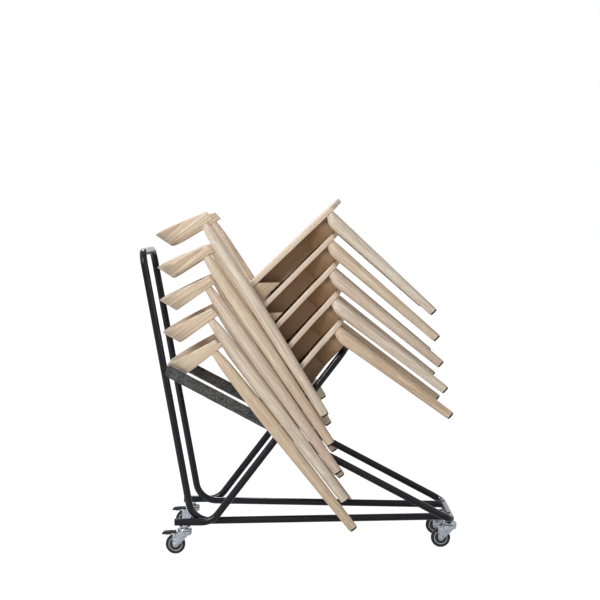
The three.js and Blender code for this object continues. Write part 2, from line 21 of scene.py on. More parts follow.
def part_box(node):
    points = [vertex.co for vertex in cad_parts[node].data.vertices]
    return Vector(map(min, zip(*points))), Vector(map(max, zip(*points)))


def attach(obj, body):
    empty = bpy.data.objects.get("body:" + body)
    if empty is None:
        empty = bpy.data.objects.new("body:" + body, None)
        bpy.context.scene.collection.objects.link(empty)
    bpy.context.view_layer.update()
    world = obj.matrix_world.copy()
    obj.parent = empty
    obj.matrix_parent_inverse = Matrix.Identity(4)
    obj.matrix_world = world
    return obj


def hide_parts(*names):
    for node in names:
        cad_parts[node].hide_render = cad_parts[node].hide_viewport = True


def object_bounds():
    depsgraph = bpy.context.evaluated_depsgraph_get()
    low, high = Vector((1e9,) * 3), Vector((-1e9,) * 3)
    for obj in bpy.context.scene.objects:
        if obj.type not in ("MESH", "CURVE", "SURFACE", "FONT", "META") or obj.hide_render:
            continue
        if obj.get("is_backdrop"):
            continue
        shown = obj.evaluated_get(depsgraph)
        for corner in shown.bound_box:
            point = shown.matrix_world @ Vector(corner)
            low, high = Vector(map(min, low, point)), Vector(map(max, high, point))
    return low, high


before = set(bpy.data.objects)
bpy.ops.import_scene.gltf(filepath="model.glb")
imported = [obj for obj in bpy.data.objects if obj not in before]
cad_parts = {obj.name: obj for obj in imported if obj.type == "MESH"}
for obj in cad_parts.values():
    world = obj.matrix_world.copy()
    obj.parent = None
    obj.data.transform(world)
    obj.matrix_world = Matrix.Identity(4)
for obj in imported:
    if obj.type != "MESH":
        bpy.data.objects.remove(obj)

cad_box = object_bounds()
mm = 0.001
print("CAD box in metres:", [[round(value, 4) for value in corner] for corner in cad_box])

# %% [markdown]
# ## The camera
#
# The photograph was taken from about five metres away, a little above the push handle, with a long
# lens. A long lens keeps the chairs' sides nearly parallel. The camera dips a little instead
# of using a lens shift, because the difference at this angle is less than two pixels.

# %% Camera
CAMERA_PLACE = Vector((0.0016, -5.3, 1.029))
CAMERA_LENS = 101.1
CAMERA_DIP = 2.881

camera = bpy.data.cameras.new("photo_camera")
camera.lens = CAMERA_LENS
camera.sensor_width = 36
camera.clip_end = 50
camera_object = bpy.data.objects.new("photo_camera", camera)
camera_object.location = CAMERA_PLACE
camera_object.rotation_euler = (math.radians(90 - CAMERA_DIP), 0, 0)
bpy.context.collection.objects.link(camera_object)
bpy.context.scene.camera = camera_object
bpy.context.scene.view_settings.view_transform = "Standard"
print("camera:", tuple(round(value, 3) for value in CAMERA_PLACE), "lens", CAMERA_LENS)

# %% [markdown]
# ## Small helpers for node trees
#
# Materials, groups and the world are all node trees. The first helper fills an input, with a link or
# with a fixed value. The second places a node and hands back its outputs, and the rest build on these.

# %% Node helpers
def feed(tree, value, socket):
    """Fills an input: a socket is linked to it, anything else becomes its fixed value."""
    if isinstance(value, bpy.types.NodeSocket):
        tree.links.new(value, socket)
    elif value is not None:
        socket.default_value = value


def place_node(tree, kind, values=None, **settings):
    """Adds a node with its settings, fills its inputs by name or number, and returns its outputs."""
    made = tree.nodes.new(f"ShaderNode{kind}")
    for name, value in settings.items():
        setattr(made, name, value)
    for key, value in (values or {}).items():
        feed(tree, value, made.inputs[key])
    return made.outputs


def mix_colours(tree, share, first, second):
    """Mixes two colours and returns the colour socket."""
    return place_node(tree, "Mix", {0: share, 6: first, 7: second}, data_type="RGBA")[2]


def remap(tree, source, from_low, from_high, to_low, to_high):
    """Stretches a value from one range to another and returns the value socket."""
    values = {0: source, 1: from_low, 2: from_high, 3: to_low, 4: to_high}
    return place_node(tree, "MapRange", values)[0]


def do_math(tree, operation, first, second=None):
    """Does a sum on one or two values and returns the value socket."""
    return place_node(tree, "Math", {0: first, 1: second}, operation=operation)[0]


def weighted(tree, first, second, share):
    """Adds two values, the first by a share and the second by the rest."""
    return do_math(tree, "ADD", do_math(tree, "MULTIPLY", first, share),
                   do_math(tree, "MULTIPLY", second, 1 - share))


print("node helpers ready")

# %% [markdown]
# ## Light and background
#
# A studio sweep lights the chairs from everywhere at once, a little stronger from the upper left.
# Here the world is that sweep. Light Path lets the camera and the reflections see pure white while
# the wood is lit by a milder sky, so that pale wood never burns out. One tall, narrow softbox gives
# the sweep its direction and draws the thin bright lines along the black tubes. A softbox behind the
# object keeps its far side as readable as its near one.

# %% World
SKY_STRENGTH = 0.27

world = bpy.data.worlds.new("studio_sweep")
world.use_nodes = True
bpy.context.scene.world = world
sky_tree = world.node_tree
rays = place_node(sky_tree, "LightPath")
seen = do_math(sky_tree, "MAXIMUM", rays["Is Camera Ray"], rays["Is Glossy Ray"])
seen = do_math(sky_tree, "MAXIMUM", seen, rays["Is Transmission Ray"])
sky = sky_tree.nodes["Background"].inputs
feed(sky_tree, (1, 1, 1, 1), sky["Color"])
feed(sky_tree, remap(sky_tree, seen, 0, 1, SKY_STRENGTH, 1), sky["Strength"])
print("world: sky strength", SKY_STRENGTH)

# %% Lamps
# each lamp has its place, its width and height in metres, and its power in watts
LAMPS = {
    "key_softbox": ((-2.1, -2.6, 2.9), 0.26, 2.3, 128),
    "fill_softbox": ((2.6, -2.2, 1.5), 1.2, 1.2, 9),
    "back_softbox": ((-0.9, 2.5, 3.9), 1.4, 1.4, 100),
}
AIM = Vector((0, 0, 0.6))

for name, (place, width, height, watts) in LAMPS.items():
    lamp = bpy.data.lights.new(name, "AREA")
    lamp.shape = "RECTANGLE"
    lamp.size = width
    lamp.size_y = height
    lamp.energy = watts
    lamp_object = bpy.data.objects.new(name, lamp)
    lamp_object.location = place
    lamp_object.rotation_euler = (AIM - lamp_object.location).to_track_quat("-Z", "Y").to_euler()
    bpy.context.collection.objects.link(lamp_object)
print("lamps:", ", ".join(LAMPS))

# %% [markdown]
# ## The floor
#
# The photograph's floor is as white as its background, with at most a breath of shadow. One large
# plane does it: to the camera most of it glows white, and a small share of plain diffuse paint keeps
# the shadow that the wheels and tubes throw. That share dies away with the distance from the object,
# so that no horizon shows.

# %% Floor
FLOOR_HALF = 30
FLOOR_WHITE = (0.9, 0.9, 0.9, 1)
SHADOW_SHARE = 0.2
FAR_SHARE = 0.05
SHADOW_REACH = (0.9, 2.2)
GLOW = 1.16

floor_shape = bmesh.new()
bmesh.ops.create_grid(floor_shape, x_segments=1, y_segments=1, size=FLOOR_HALF)
floor_mesh = bpy.data.meshes.new("studio_floor")
floor_shape.to_mesh(floor_mesh)
floor_shape.free()
floor = bpy.data.objects.new("studio_floor", floor_mesh)
bpy.context.collection.objects.link(floor)
floor_paint = bpy.data.materials.new("floor_paint")
floor_paint.use_nodes = True
floor_tree = floor_paint.node_tree
floor_tree.nodes.remove(floor_tree.nodes["Principled BSDF"])
paint = place_node(floor_tree, "BsdfDiffuse", {"Color": FLOOR_WHITE})[0]
glow = place_node(floor_tree, "Emission", {"Strength": GLOW})[0]
by_camera = place_node(floor_tree, "LightPath")["Is Camera Ray"]
place = place_node(floor_tree, "TexCoord")["Object"]
distance = place_node(floor_tree, "VectorMath", {0: place}, operation="LENGTH")["Value"]
glow_share = remap(floor_tree, distance, *SHADOW_REACH, 1 - SHADOW_SHARE, 1 - FAR_SHARE)
glow_share = do_math(floor_tree, "MULTIPLY", by_camera, glow_share)
mixed = place_node(floor_tree, "MixShader", {0: glow_share, 1: paint, 2: glow})[0]
feed(floor_tree, mixed, floor_tree.nodes["Material Output"].inputs[0])
floor_mesh.materials.append(floor_paint)
floor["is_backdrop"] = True
print("floor:", 2 * FLOOR_HALF, "m square")

# %% [markdown]
# ## A shared effect: wood grain
#
# All the wood is pale timber, cut in different ways: turned legs, bent boards, flat panels. A tree is
# a bundle of nested cones, so the grain is a solid pattern: rings round a pith that lies outside the
# piece, long fibres, and short dark flecks. Every wooden piece carries a point attribute named
# "grain", a place in the tree in millimetres with Z along the trunk. The group reads only that, so
# rings, fibres and flecks run through edges and ends as they do in real timber.

# %% Group: wood grain
def new_group(name, inputs, outputs):
    """Starts a shader group and returns its tree, the sockets that come in and those that go out."""
    tree = bpy.data.node_groups.new(name, "ShaderNodeTree")
    for in_out, sockets in (("INPUT", inputs), ("OUTPUT", outputs)):
        for label, kind in sockets.items():
            tree.interface.new_socket(label, in_out=in_out, socket_type=f"NodeSocket{kind}")
    return tree, tree.nodes.new("NodeGroupInput").outputs, tree.nodes.new("NodeGroupOutput").inputs


wood, grain_in, grain_out = new_group(
    "wood_grain",
    {"Grain": "Vector", "Light Wood": "Color", "Ring Line": "Color", "Blush": "Color",
     "Ring Strength": "Float", "Streak Strength": "Float"},
    {"Color": "Color", "Gloss Shift": "Float", "Height": "Float"},
)


def drawn_out(scale):
    """The place in the trunk, scaled along each axis."""
    return place_node(wood, "VectorMath", {0: grain_in["Grain"], 1: scale}, operation="MULTIPLY")[0]


def noise_of(place, scale, detail, roughness=0.5):
    """Plain noise over a place."""
    values = {"Vector": place, "Scale": scale, "Detail": detail, "Roughness": roughness}
    return place_node(wood, "TexNoise", values)[0]


print("wood grain takes:", ", ".join(grain_in.keys()[:-1]))

# %% Group: wood grain, the rings
RING_PITCH = 4.6
WAVE_PERIOD = 0.31416
RING_WANDER = 5.5
LATE_WOOD_POWER = 1.9

slow = drawn_out((1, 1, 0.09))
rings = place_node(
    wood,
    "TexWave",
    {"Vector": slow, "Scale": WAVE_PERIOD / RING_PITCH, "Distortion": RING_WANDER, "Detail": 2,
     "Detail Scale": 0.34},
    wave_type="RINGS",
    rings_direction="Z",
    wave_profile="SAW",
)
late_wood = do_math(wood, "POWER", rings["Fac"], LATE_WOOD_POWER)
year_mask = remap(wood, noise_of(slow, 0.16, 3), 0.3, 0.7, 0.35, 1)
ring_mask = do_math(wood, "MULTIPLY", late_wood, year_mask)
ring_share = do_math(wood, "MULTIPLY", ring_mask, grain_in["Ring Strength"])
print("rings:", RING_PITCH, "mm apart")

# %% Group: wood grain, fibres and flecks
FINE_SHARE = 0.6
FLECK_SHARE = 0.42
FLECK_COLOUR = (0.33, 0.22, 0.13, 1)

# each noise has its scale along the trunk's three axes, its detail and its roughness
NOISES = {
    "fibres": ((1.1, 1.1, 0.018), 4, 0.62),
    "broad": ((0.16, 0.16, 0.0035), 3, 0.55),
    "flecks": ((1.5, 1.5, 0.1), 2, 0.6),
    "tone": ((0.02, 0.02, 0.004), 1, 0.5),
}
noises = {name: noise_of(drawn_out(scale), 1, *facts) for name, (scale, *facts) in NOISES.items()}
fibres = noises["fibres"]
streak_mask = remap(wood, weighted(wood, fibres, noises["broad"], FINE_SHARE), 0.38, 0.62, 0, 1)
streak_share = do_math(wood, "MULTIPLY", streak_mask, grain_in["Streak Strength"])
flecks = remap(wood, noises["flecks"], 0.58, 0.7, 0, 1)
tone = remap(wood, noises["tone"], 0.35, 0.65, 0, 1)
print("noises:", ", ".join(NOISES))

# %% Group: wood grain, colour and relief
colour = mix_colours(wood, tone, grain_in["Light Wood"], grain_in["Blush"])
colour = mix_colours(wood, streak_share, colour, grain_in["Ring Line"])
colour = mix_colours(wood, ring_share, colour, grain_in["Ring Line"])
colour = mix_colours(wood, do_math(wood, "MULTIPLY", flecks, FLECK_SHARE), colour, FLECK_COLOUR)
feed(wood, colour, grain_out["Color"])
feed(wood, do_math(wood, "SUBTRACT", do_math(wood, "MULTIPLY", fibres, 0.5), flecks), grain_out["Height"])
feed(wood, remap(wood, fibres, 0.3, 0.7, -0.06, 0.08), grain_out["Gloss Shift"])
print("wood grain group:", len(wood.nodes), "nodes")

# %% [markdown]
# ## A shared effect: fine speckle
#
# Powder coat, zinc, felt, rubber and moulded plastic have one thing in common: a fine, even texture
# and larger soft patches of wear or dust. One group makes both from a place, and each material
# decides what they do: a bump like orange peel, a spangle, or the fibres of felt.

# %% Group: fine speckle
speckle, speckle_in, speckle_out = new_group(
    "fine_speckle",
    {"Place": "Vector", "Fine Scale": "Float", "Patch Scale": "Float"},
    {"Fine": "Float", "Patch": "Float"},
)
for label, detail, low, high in (("Fine", 3, 0.3, 0.7), ("Patch", 4, 0.35, 0.65)):
    values = {"Vector": speckle_in["Place"], "Scale": speckle_in[f"{label} Scale"], "Detail": detail,
              "Roughness": 0.55}
    grains = place_node(speckle, "TexNoise", values)[0]
    feed(speckle, remap(speckle, grains, low, high, 0, 1), speckle_out[label])
print("fine speckle group:", len(speckle.nodes), "nodes")

# %% [markdown]
# ## Materials
#
# The wood materials differ in how strongly rings and streaks show: a turned leg is cut from
# straight-grained stock, the bent backrest shows wide year rings on its face, and the seat is glued
# up from narrow boards. The legs come in four tones, because no two chairs of the photograph match.
# The rails under the seats lie in deep shade, and their wood is painted darker still, as painted
# shade; the corner blocks are painted with a lighter shade.

# %% Wood materials
WOOD_ROUGHNESS = 0.5
WOOD_RELIEF = 0.00012
WOOD_BUMP = 0.6
BOARD_JUMP = (37.7, 61.3, 411)
SEAT_BOARD = 88
LEG_LINE = (0.26, 0.17, 0.1, 1)


def start_material(name, sockets):
    """A new material, with fixed values set on its shader's own sockets."""
    material = bpy.data.materials.new(name)
    material.use_nodes = True
    shader = material.node_tree.nodes["Principled BSDF"].inputs
    for label, value in sockets.items():
        shader[label].default_value = value
    return material, material.node_tree, shader


def add_bump(tree, shader, height, distance, strength=1):
    """Gives the surface a fine relief from a height between 0 and 1; distance is in metres."""
    values = {"Height": height, "Strength": strength, "Distance": distance}
    feed(tree, place_node(tree, "Bump", values)["Normal"], shader["Normal"])


def wood_finish(name, light, line, blush, ring_strength, streak_strength, board_width=None):
    """Oiled pale wood. With a board width, the pattern jumps from board to board."""
    material, tree, shader = start_material(name, {})
    place = place_node(tree, "Attribute", attribute_name="grain")["Vector"]
    if board_width:
        reach = place_node(tree, "SeparateXYZ", {0: place})["X"]
        board = do_math(tree, "FLOOR", do_math(tree, "DIVIDE", reach, board_width))
        jump = place_node(tree, "VectorMath", {0: BOARD_JUMP, "Scale": board}, operation="SCALE")
        place = place_node(tree, "VectorMath", {0: place, 1: jump[0]}, operation="ADD")[0]
    values = {"Grain": place, "Light Wood": light, "Ring Line": line, "Blush": blush,
              "Ring Strength": ring_strength, "Streak Strength": streak_strength}
    grain = place_node(tree, "Group", values, node_tree=wood)
    feed(tree, grain["Color"], shader["Base Color"])
    feed(tree, do_math(tree, "ADD", grain["Gloss Shift"], WOOD_ROUGHNESS), shader["Roughness"])
    add_bump(tree, shader, grain["Height"], WOOD_RELIEF, WOOD_BUMP)
    return material


# each wood has a light colour, a ring line, a blush, and the strength of its rings and its streaks
WOODS = {
    "turned_pale_wood": ((0.84, 0.77, 0.65, 1), LEG_LINE, (0.78, 0.66, 0.54, 1), 0.6, 0.66),
    "turned_warm_wood": ((0.77, 0.64, 0.47, 1), LEG_LINE, (0.71, 0.54, 0.39, 1), 0.6, 0.66),
    "turned_rosy_wood": ((0.79, 0.69, 0.57, 1), LEG_LINE, (0.73, 0.58, 0.48, 1), 0.6, 0.66),
    "turned_straw_wood": ((0.79, 0.69, 0.53, 1), LEG_LINE, (0.72, 0.56, 0.42, 1), 0.6, 0.66),
    "bent_wood": ((0.76, 0.66, 0.51, 1), (0.28, 0.185, 0.1, 1), (0.7, 0.54, 0.41, 1), 0.85, 0.5),
    "panel_wood": ((0.74, 0.63, 0.5, 1), (0.3, 0.2, 0.13, 1), (0.72, 0.57, 0.47, 1), 0.46, 0.42, SEAT_BOARD),
    # the block wood is the pale wood painted darker, as a lighter painted shade than the rails
    "block_wood_painted_shade": ((0.5, 0.38, 0.25, 1), (0.2, 0.13, 0.07, 1), (0.46, 0.34, 0.22, 1), 0.46, 0.42),
    # the rail wood is the pale wood painted much darker, as painted shade under the nested seats
    "rail_wood_painted_shade": ((0.29, 0.18, 0.09, 1), (0.13, 0.07, 0.03, 1), (0.27, 0.16, 0.08, 1), 0.42, 0.4),
}
looks = {name: wood_finish(name, *facts) for name, facts in WOODS.items()}
print("wood materials:", len(WOODS))

# %% [markdown]
# The other finishes share one builder. Each takes a dark and a light colour for its fine speckle, a
# pair of roughness values for its patches, the scales of both, and the depth of its relief in metres.
# Felt has a sheen, because its loose fibres catch light that grazes them.

# %% Speckled finishes
SPECKLE_SHARE = 0.7


def speckled_finish(name, dark, light, roughness, scales, relief, sockets):
    """A finish with a fine speckle between two colours, and patches between two roughness values."""
    material, tree, shader = start_material(name, sockets)
    place = place_node(tree, "TexCoord")["Object"]
    values = {"Place": place, "Fine Scale": scales[0], "Patch Scale": scales[1]}
    mask = place_node(tree, "Group", values, node_tree=speckle)
    share = weighted(tree, mask["Fine"], mask["Patch"], SPECKLE_SHARE)
    feed(tree, mix_colours(tree, share, (*dark, 1), (*light, 1)), shader["Base Color"])
    feed(tree, remap(tree, mask["Patch"], 0, 1, *roughness), shader["Roughness"])
    add_bump(tree, shader, mask["Fine"], relief)
    return material


FINISHES = {
    "satin_powder_coat": ((0.006, 0.006, 0.009), (0.011, 0.011, 0.015), (0.12, 0.18), (700, 9), 0.00002,
                          {"Specular IOR Level": 0.22}),
    "coated_weld": ((0.006, 0.006, 0.008), (0.011, 0.011, 0.014), (0.28, 0.4), (1400, 60), 0.00012,
                    {"Specular IOR Level": 0.25}),
    "grey_felt": ((0.001, 0.001, 0.001), (0.135, 0.135, 0.135), (0.9, 1), (165, 30), 0.0011,
                  {"Sheen Weight": 0.12, "Sheen Roughness": 0.6, "Specular IOR Level": 0.15}),
    "bright_zinc": ((0.22, 0.26, 0.3), (0.56, 0.6, 0.65), (0.12, 0.3), (200, 120), 0.00003, {"Metallic": 1}),
    "worn_steel": ((0.3, 0.31, 0.33), (0.55, 0.56, 0.58), (0.25, 0.45), (600, 120), 0.00003, {"Metallic": 1}),
    "solid_rubber": ((0.008, 0.008, 0.009), (0.022, 0.022, 0.024), (0.5, 0.7), (800, 60), 0.00008,
                     {"Specular IOR Level": 0.3}),
    "pale_ring": ((0.38, 0.4, 0.4), (0.55, 0.56, 0.56), (0.4, 0.55), (900, 80), 0.00003, {}),
    "grey_plastic": ((0.02, 0.022, 0.024), (0.05, 0.052, 0.055), (0.4, 0.55), (900, 80), 0.00004,
                     {"Specular IOR Level": 0.3}),
    "dark_plastic": ((0.008, 0.009, 0.009), (0.022, 0.023, 0.024), (0.55, 0.7), (1100, 50), 0.00005,
                     {"Specular IOR Level": 0.12}),
}
looks.update({name: speckled_finish(name, *facts) for name, facts in FINISHES.items()})
print("speckled finishes:", len(FINISHES))

# %% [markdown]
# ## Helpers for shapes
#
# Three ways of making cover the whole object. A profile spun about a line makes all that is turned:
# legs, wheels and castor heads. A section carried along stations makes all that is bent: the
# backrest, the sleeves and the weld beads. A flat outline pushed through its thickness and bevelled
# makes all that is sawn or stamped.

# %% Helpers: flat faces and rims
def flat_face(corners):
    """One flat face."""
    shape = bmesh.new()
    bmesh.ops.contextual_create(shape, geom=[shape.verts.new(corner) for corner in corners])
    return shape


def disc(radius, sides):
    """A flat round face about Z."""
    shape = bmesh.new()
    bmesh.ops.create_circle(shape, cap_ends=True, segments=sides, radius=radius)
    return shape


def move(shape, matrix):
    """Moves a whole shape by a matrix."""
    bmesh.ops.transform(shape, matrix=matrix, verts=shape.verts[:])
    return shape


def points_of(items):
    """The points among the items that an operator made."""
    return [item for item in items if isinstance(item, bmesh.types.BMVert)]


def open_edges(shape):
    """The edges with a face on one side only."""
    return [edge for edge in shape.edges if edge.is_boundary]


def push_rim(shape, rim, matrix):
    """Pushes an open rim of edges by a matrix, draws a wall behind it, and returns the new rim."""
    pushed = bmesh.ops.extrude_edge_only(shape, edges=rim)["geom"]
    points = points_of(pushed)
    fresh = set(points)
    bmesh.ops.transform(shape, matrix=matrix, verts=points)
    edges = [item for item in pushed if isinstance(item, bmesh.types.BMEdge)]
    return [edge for edge in edges if fresh.issuperset(edge.verts)]


def spin_rim(shape, rim, centre, axis, angle, steps):
    """Spins an open rim of edges about an axis and returns the last rim."""
    points = list({point for edge in rim for point in edge.verts})
    spun = bmesh.ops.spin(shape, geom=points + rim, cent=centre, axis=axis, angle=angle, steps=steps)
    return [item for item in spun["geom_last"] if isinstance(item, bmesh.types.BMEdge)]


def face_outward(shape):
    """Turns all faces of a closed shape outward."""
    bmesh.ops.recalc_face_normals(shape, faces=shape.faces[:])
    return shape


def close_end(shape, rim):
    """Closes an open rim with one face."""
    bmesh.ops.contextual_create(shape, geom=rim)
    return face_outward(shape)


def thicken(shape, depth):
    """Pushes a flat face along a vector, so that it becomes solid."""
    pushed = bmesh.ops.extrude_face_region(shape, geom=shape.faces[:])["geom"]
    bmesh.ops.translate(shape, vec=depth, verts=points_of(pushed))
    return face_outward(shape)


print("faces can be pushed, spun, closed and thickened")

# %% Helpers: turned shapes
MERGE_GAP = 0.0005


def eased(corners, reaches, steps=6):
    """Rounds the corners of a flat line; each reach says how far from its corner the curve starts."""
    points = [Vector(corner) for corner in corners]
    line = [points[0]]
    for before, corner, after, reach in zip(points, points[1:], points[2:], reaches):
        if not reach:
            line.append(corner)
            continue
        start = corner + (before - corner).normalized() * reach
        end = corner + (after - corner).normalized() * reach
        for step in range(steps + 1):
            share = step / steps
            line.append(start * (1 - share) ** 2 + corner * 2 * share * (1 - share) + end * share**2)
    line.append(points[-1])
    return line


def turned(profile, sides=48):
    """Spins a line of points, each a radius and a height, about Z."""
    shape = bmesh.new()
    chain = [shape.verts.new((radius, 0, height)) for radius, height in profile]
    for low, high in zip(chain, chain[1:]):
        shape.edges.new((low, high))
    line = shape.verts[:] + shape.edges[:]
    bmesh.ops.spin(shape, geom=line, cent=(0, 0, 0), axis=(0, 0, 1), angle=2 * math.pi, steps=sides,
                   use_merge=True)
    bmesh.ops.remove_doubles(shape, verts=shape.verts[:], dist=MERGE_GAP)
    return face_outward(shape)


print("profiles can be eased and turned")

# %% Helpers: carried shapes
def station(place, across, up, ahead):
    """The matrix that lays a flat face at a place, with its X, Y and Z along three directions."""
    return Matrix.Translation(place) @ Matrix((across, up, ahead)).transposed().to_4x4()


def along(place, heading, up, size):
    """A station whose Z looks along a heading, with its Y as near to up as it can be."""
    forward = Vector(heading).normalized()
    sideways = Vector(up).cross(forward).normalized()
    return station(place, sideways * size, forward.cross(sideways) * size, forward)


def carry(shape, stations, closed=False):
    """Carries one flat face through stations; a closed run joins its last rim to its first."""
    first_rim = rim = shape.edges[:]
    move(shape, stations[0])
    for before, after in zip(stations, stations[1:]):
        rim = push_rim(shape, rim, after @ before.inverted())
    if not closed:
        return close_end(shape, rim)
    start_faces = [face for face in shape.faces if len(face.verts) > 4]
    bmesh.ops.delete(shape, geom=start_faces, context="FACES_ONLY")
    bmesh.ops.bridge_loops(shape, edges=first_rim + rim)
    return face_outward(shape)


print("faces can be carried along stations")

# %% Helpers: soft edges and plates
def round_off(shape, items, offset, segments, kind="EDGES"):
    """Bevels edges or corners with a round."""
    bmesh.ops.bevel(shape, geom=items, offset=offset, segments=segments, profile=0.5, affect=kind,
                    clamp_overlap=True, material=-1)


def soften(shape, offset, segments=3, angle=30):
    """Bevels every edge that is sharper than an angle in degrees."""
    limit = math.radians(angle)
    sharp = [edge for edge in shape.edges if len(edge.link_faces) == 2 and edge.calc_face_angle() > limit]
    round_off(shape, sharp, offset, segments)
    return shape


def plate(outline, thickness, round_by, edge):
    """A flat outline in X and Z with a thickness across Y = 0, its corners and edges rounded."""
    shape = flat_face([(x, -thickness / 2, z) for x, z in outline])
    if round_by:
        round_off(shape, shape.verts[:], round_by, segments=5, kind="VERTICES")
    return soften(thicken(shape, (0, thickness, 0)), edge, segments=2, angle=60)


print("edges can be softened, and outlines made into plates")

# %% Helpers: joining and finishing
SHARP_ANGLE = math.radians(38)


def mesh_of(shape):
    """Turns a bmesh into a mesh and frees it."""
    mesh = bpy.data.meshes.new("shape")
    shape.to_mesh(mesh)
    shape.free()
    return mesh


def add_shape(target, part, matrix=Matrix.Identity(4)):
    """Adds a bmesh, moved by a matrix, to another one, with its grain."""
    carrier = mesh_of(move(part, matrix))
    target.from_mesh(carrier)
    bpy.data.meshes.remove(carrier)
    return target


def finish_piece(name, mesh, look, body, slot, *stands_for):
    """Links a mesh as a finished object, in metres, and ties it to the frame."""
    mesh.name = name
    mesh.transform(Matrix.Scale(mm, 4))
    mesh.shade_smooth()
    mesh.set_sharp_from_angle(angle=SHARP_ANGLE)
    mesh.materials.append(looks[look])
    made = bpy.data.objects.new(name, mesh)
    bpy.context.collection.objects.link(made)
    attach(made, body)
    if stands_for:
        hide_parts(*stands_for)
    return made


print("shape helpers ready")

# %% [markdown]
# ## Where the chairs lie
#
# The five chairs are copies of one chair, so one chair is modelled, standing upright at the origin,
# and then laid in each place. The CAD says where: a rear leg's points are symmetrical about its
# axis, so their middle and main direction give the leg's line. Both rear feet and that direction fix
# the chair's origin and its tilt.

# %% Places of the chairs
LEG_TONES = {1: "warm", 2: "pale", 3: "rosy", 4: "straw", 5: "pale"}
REAR_LEG_LEAN = math.radians(11.7)


def leg_line(node):
    """The foot's middle and the upward direction of a straight leg, from its CAD points in millimetres."""
    points = numpy.array([point.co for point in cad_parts[node].data.vertices]) / mm
    points = numpy.unique(points.round(3), axis=0)
    middle = points.mean(axis=0)
    direction = numpy.linalg.svd(points - middle, full_matrices=False)[2][0]
    direction = direction * numpy.sign(direction[2])
    foot = middle + direction * ((points - middle) @ direction).min()
    return Vector(foot), Vector(direction)


def chair_place(number):
    """The matrix that lays the upright chair in its place, in millimetres."""
    lines = [leg_line(f"chair_{number}_rear_leg_{side}") for side in ("right", "left")]
    origin = (lines[0][0] + lines[1][0]) / 2
    upward = lines[0][1] + lines[1][1]
    tilt = REAR_LEG_LEAN - math.atan2(upward.x, upward.z)
    print(f"chair {number}: origin {origin.x:.2f} {origin.z:.2f} mm, tilt {math.degrees(tilt):.2f} degrees")
    return Matrix.Translation(origin) @ Matrix.Rotation(-tilt, 4, "Y")


chair_places = {number: chair_place(number) for number in LEG_TONES}

# %% [markdown]
# ## Giving each piece its own timber
#
# No two legs come from the same spot of the tree. The golden angle and the golden ratio spread the
# piece's places in the trunk evenly without any chance, so that every run gives the same pattern.

# %% Grain helpers
GOLDEN_ANGLE = math.radians(137.508)
GOLDEN_SHARE = 0.618034
NEAREST_PITH = 60
PITH_SPREAD = 90
LOG_STEP = 731


def lay_grain(shape, to_trunk):
    """Writes the grain attribute: each point's place in the trunk, with Z along the fibres."""
    layer = shape.verts.layers.float_vector.new("grain")
    for point in shape.verts:
        point[layer] = to_trunk(point.co)
    return shape


def cut_place(seed):
    """Where in the trunk a piece is cut from: at some distance from the pith, at any height."""
    radius = NEAREST_PITH + PITH_SPREAD * ((seed * GOLDEN_SHARE) % 1)
    turn = seed * GOLDEN_ANGLE
    return Vector((radius * math.cos(turn), radius * math.sin(turn), LOG_STEP * seed))


def cut_from_log(shape, order, seed):
    """Lays straight grain: the order, like "yzx", names the axes across, across and along the fibres."""
    place = cut_place(seed)
    return lay_grain(shape, lambda point: getattr(point, order) + place)


def with_grain_moved(mesh, seed):
    """A copy of a mesh whose grain is cut from its own spot."""
    copy = mesh.copy()
    place = cut_place(seed)
    for item in copy.attributes["grain"].data:
        item.vector = Vector(item.vector) + place
    return copy


print("grain helpers ready")

# %% [markdown]
# ## Rear legs
#
# A rear leg is turned on a lathe: slim at the foot, thickest just under the seat, and slim again
# where it carries the arm. Spinning an eased profile gives exactly what the lathe does. The bends
# of the profile are long and soft, with no line showing where one taper meets the next.

# %% Rear leg
LEG_HALF = 245.3
LEG_SIDES = 48
LONG_EDGE = 40
REAR_PROFILE = [(0, 0), (12.4, 0), (13.75, 1.4), (21, 380), (21, 470), (17.3, 632), (11.5, 676.8), (0, 676.8)]
REAR_EASE = [0, 0, 60, 44, 26, 0]
leg_turn = Matrix.Rotation(REAR_LEG_LEAN, 4, "Y")

rear_leg = turned(eased(REAR_PROFILE, REAR_EASE), LEG_SIDES)
long_edges = [edge for edge in rear_leg.edges if abs(edge.verts[0].co.z - edge.verts[1].co.z) > LONG_EDGE]
bmesh.ops.subdivide_edges(rear_leg, edges=long_edges, cuts=6, use_grid_fill=True)
lay_grain(rear_leg, lambda point: point.copy())
rear_leg_mesh = mesh_of(move(rear_leg, leg_turn))
print("rear leg:", len(rear_leg_mesh.vertices), "points")

# %% [markdown]
# ## Front legs
#
# A front leg leans back as it rises. Its front line stays straight to the top, while the back is
# rounded over under the seat like a thumb. Level rings, stacked and pulled forward as they shrink,
# follow that shape; a plain spin could not, because the dome is off the leg's middle.

# %% Front leg
FRONT_LEAN = math.tan(math.radians(4))
FRONT_FOOT_REACH = 450
FRAME_TOP = 425.7
DOME_DEPTH = 38
DOME_STEPS = 14
NECK_RADIUS = 20.5
CROWN_RADIUS = 12.5
FRONT_RADII = [(0, 12.1), (1.2, 13.25), (70, 14.44), (140, 15.62), (210, 16.81), (255, 17.6), (280, 18.05),
               (305, 18.55), (345, 19.5), (FRAME_TOP - DOME_DEPTH, NECK_RADIUS)]


def front_ring(height, radius, advance=0):
    """A level ring of the front leg: its middle leans back, and an advance brings it forward again."""
    middle = Vector((FRONT_FOOT_REACH - FRONT_LEAN * height + advance, 0, height))
    return Matrix.Translation(middle) @ Matrix.Diagonal((radius, radius, 1, 1))


def front_grain(point):
    """A point's place about the front leg's leaning middle."""
    return Vector((point.x + FRONT_LEAN * point.z - FRONT_FOOT_REACH, point.y, point.z))


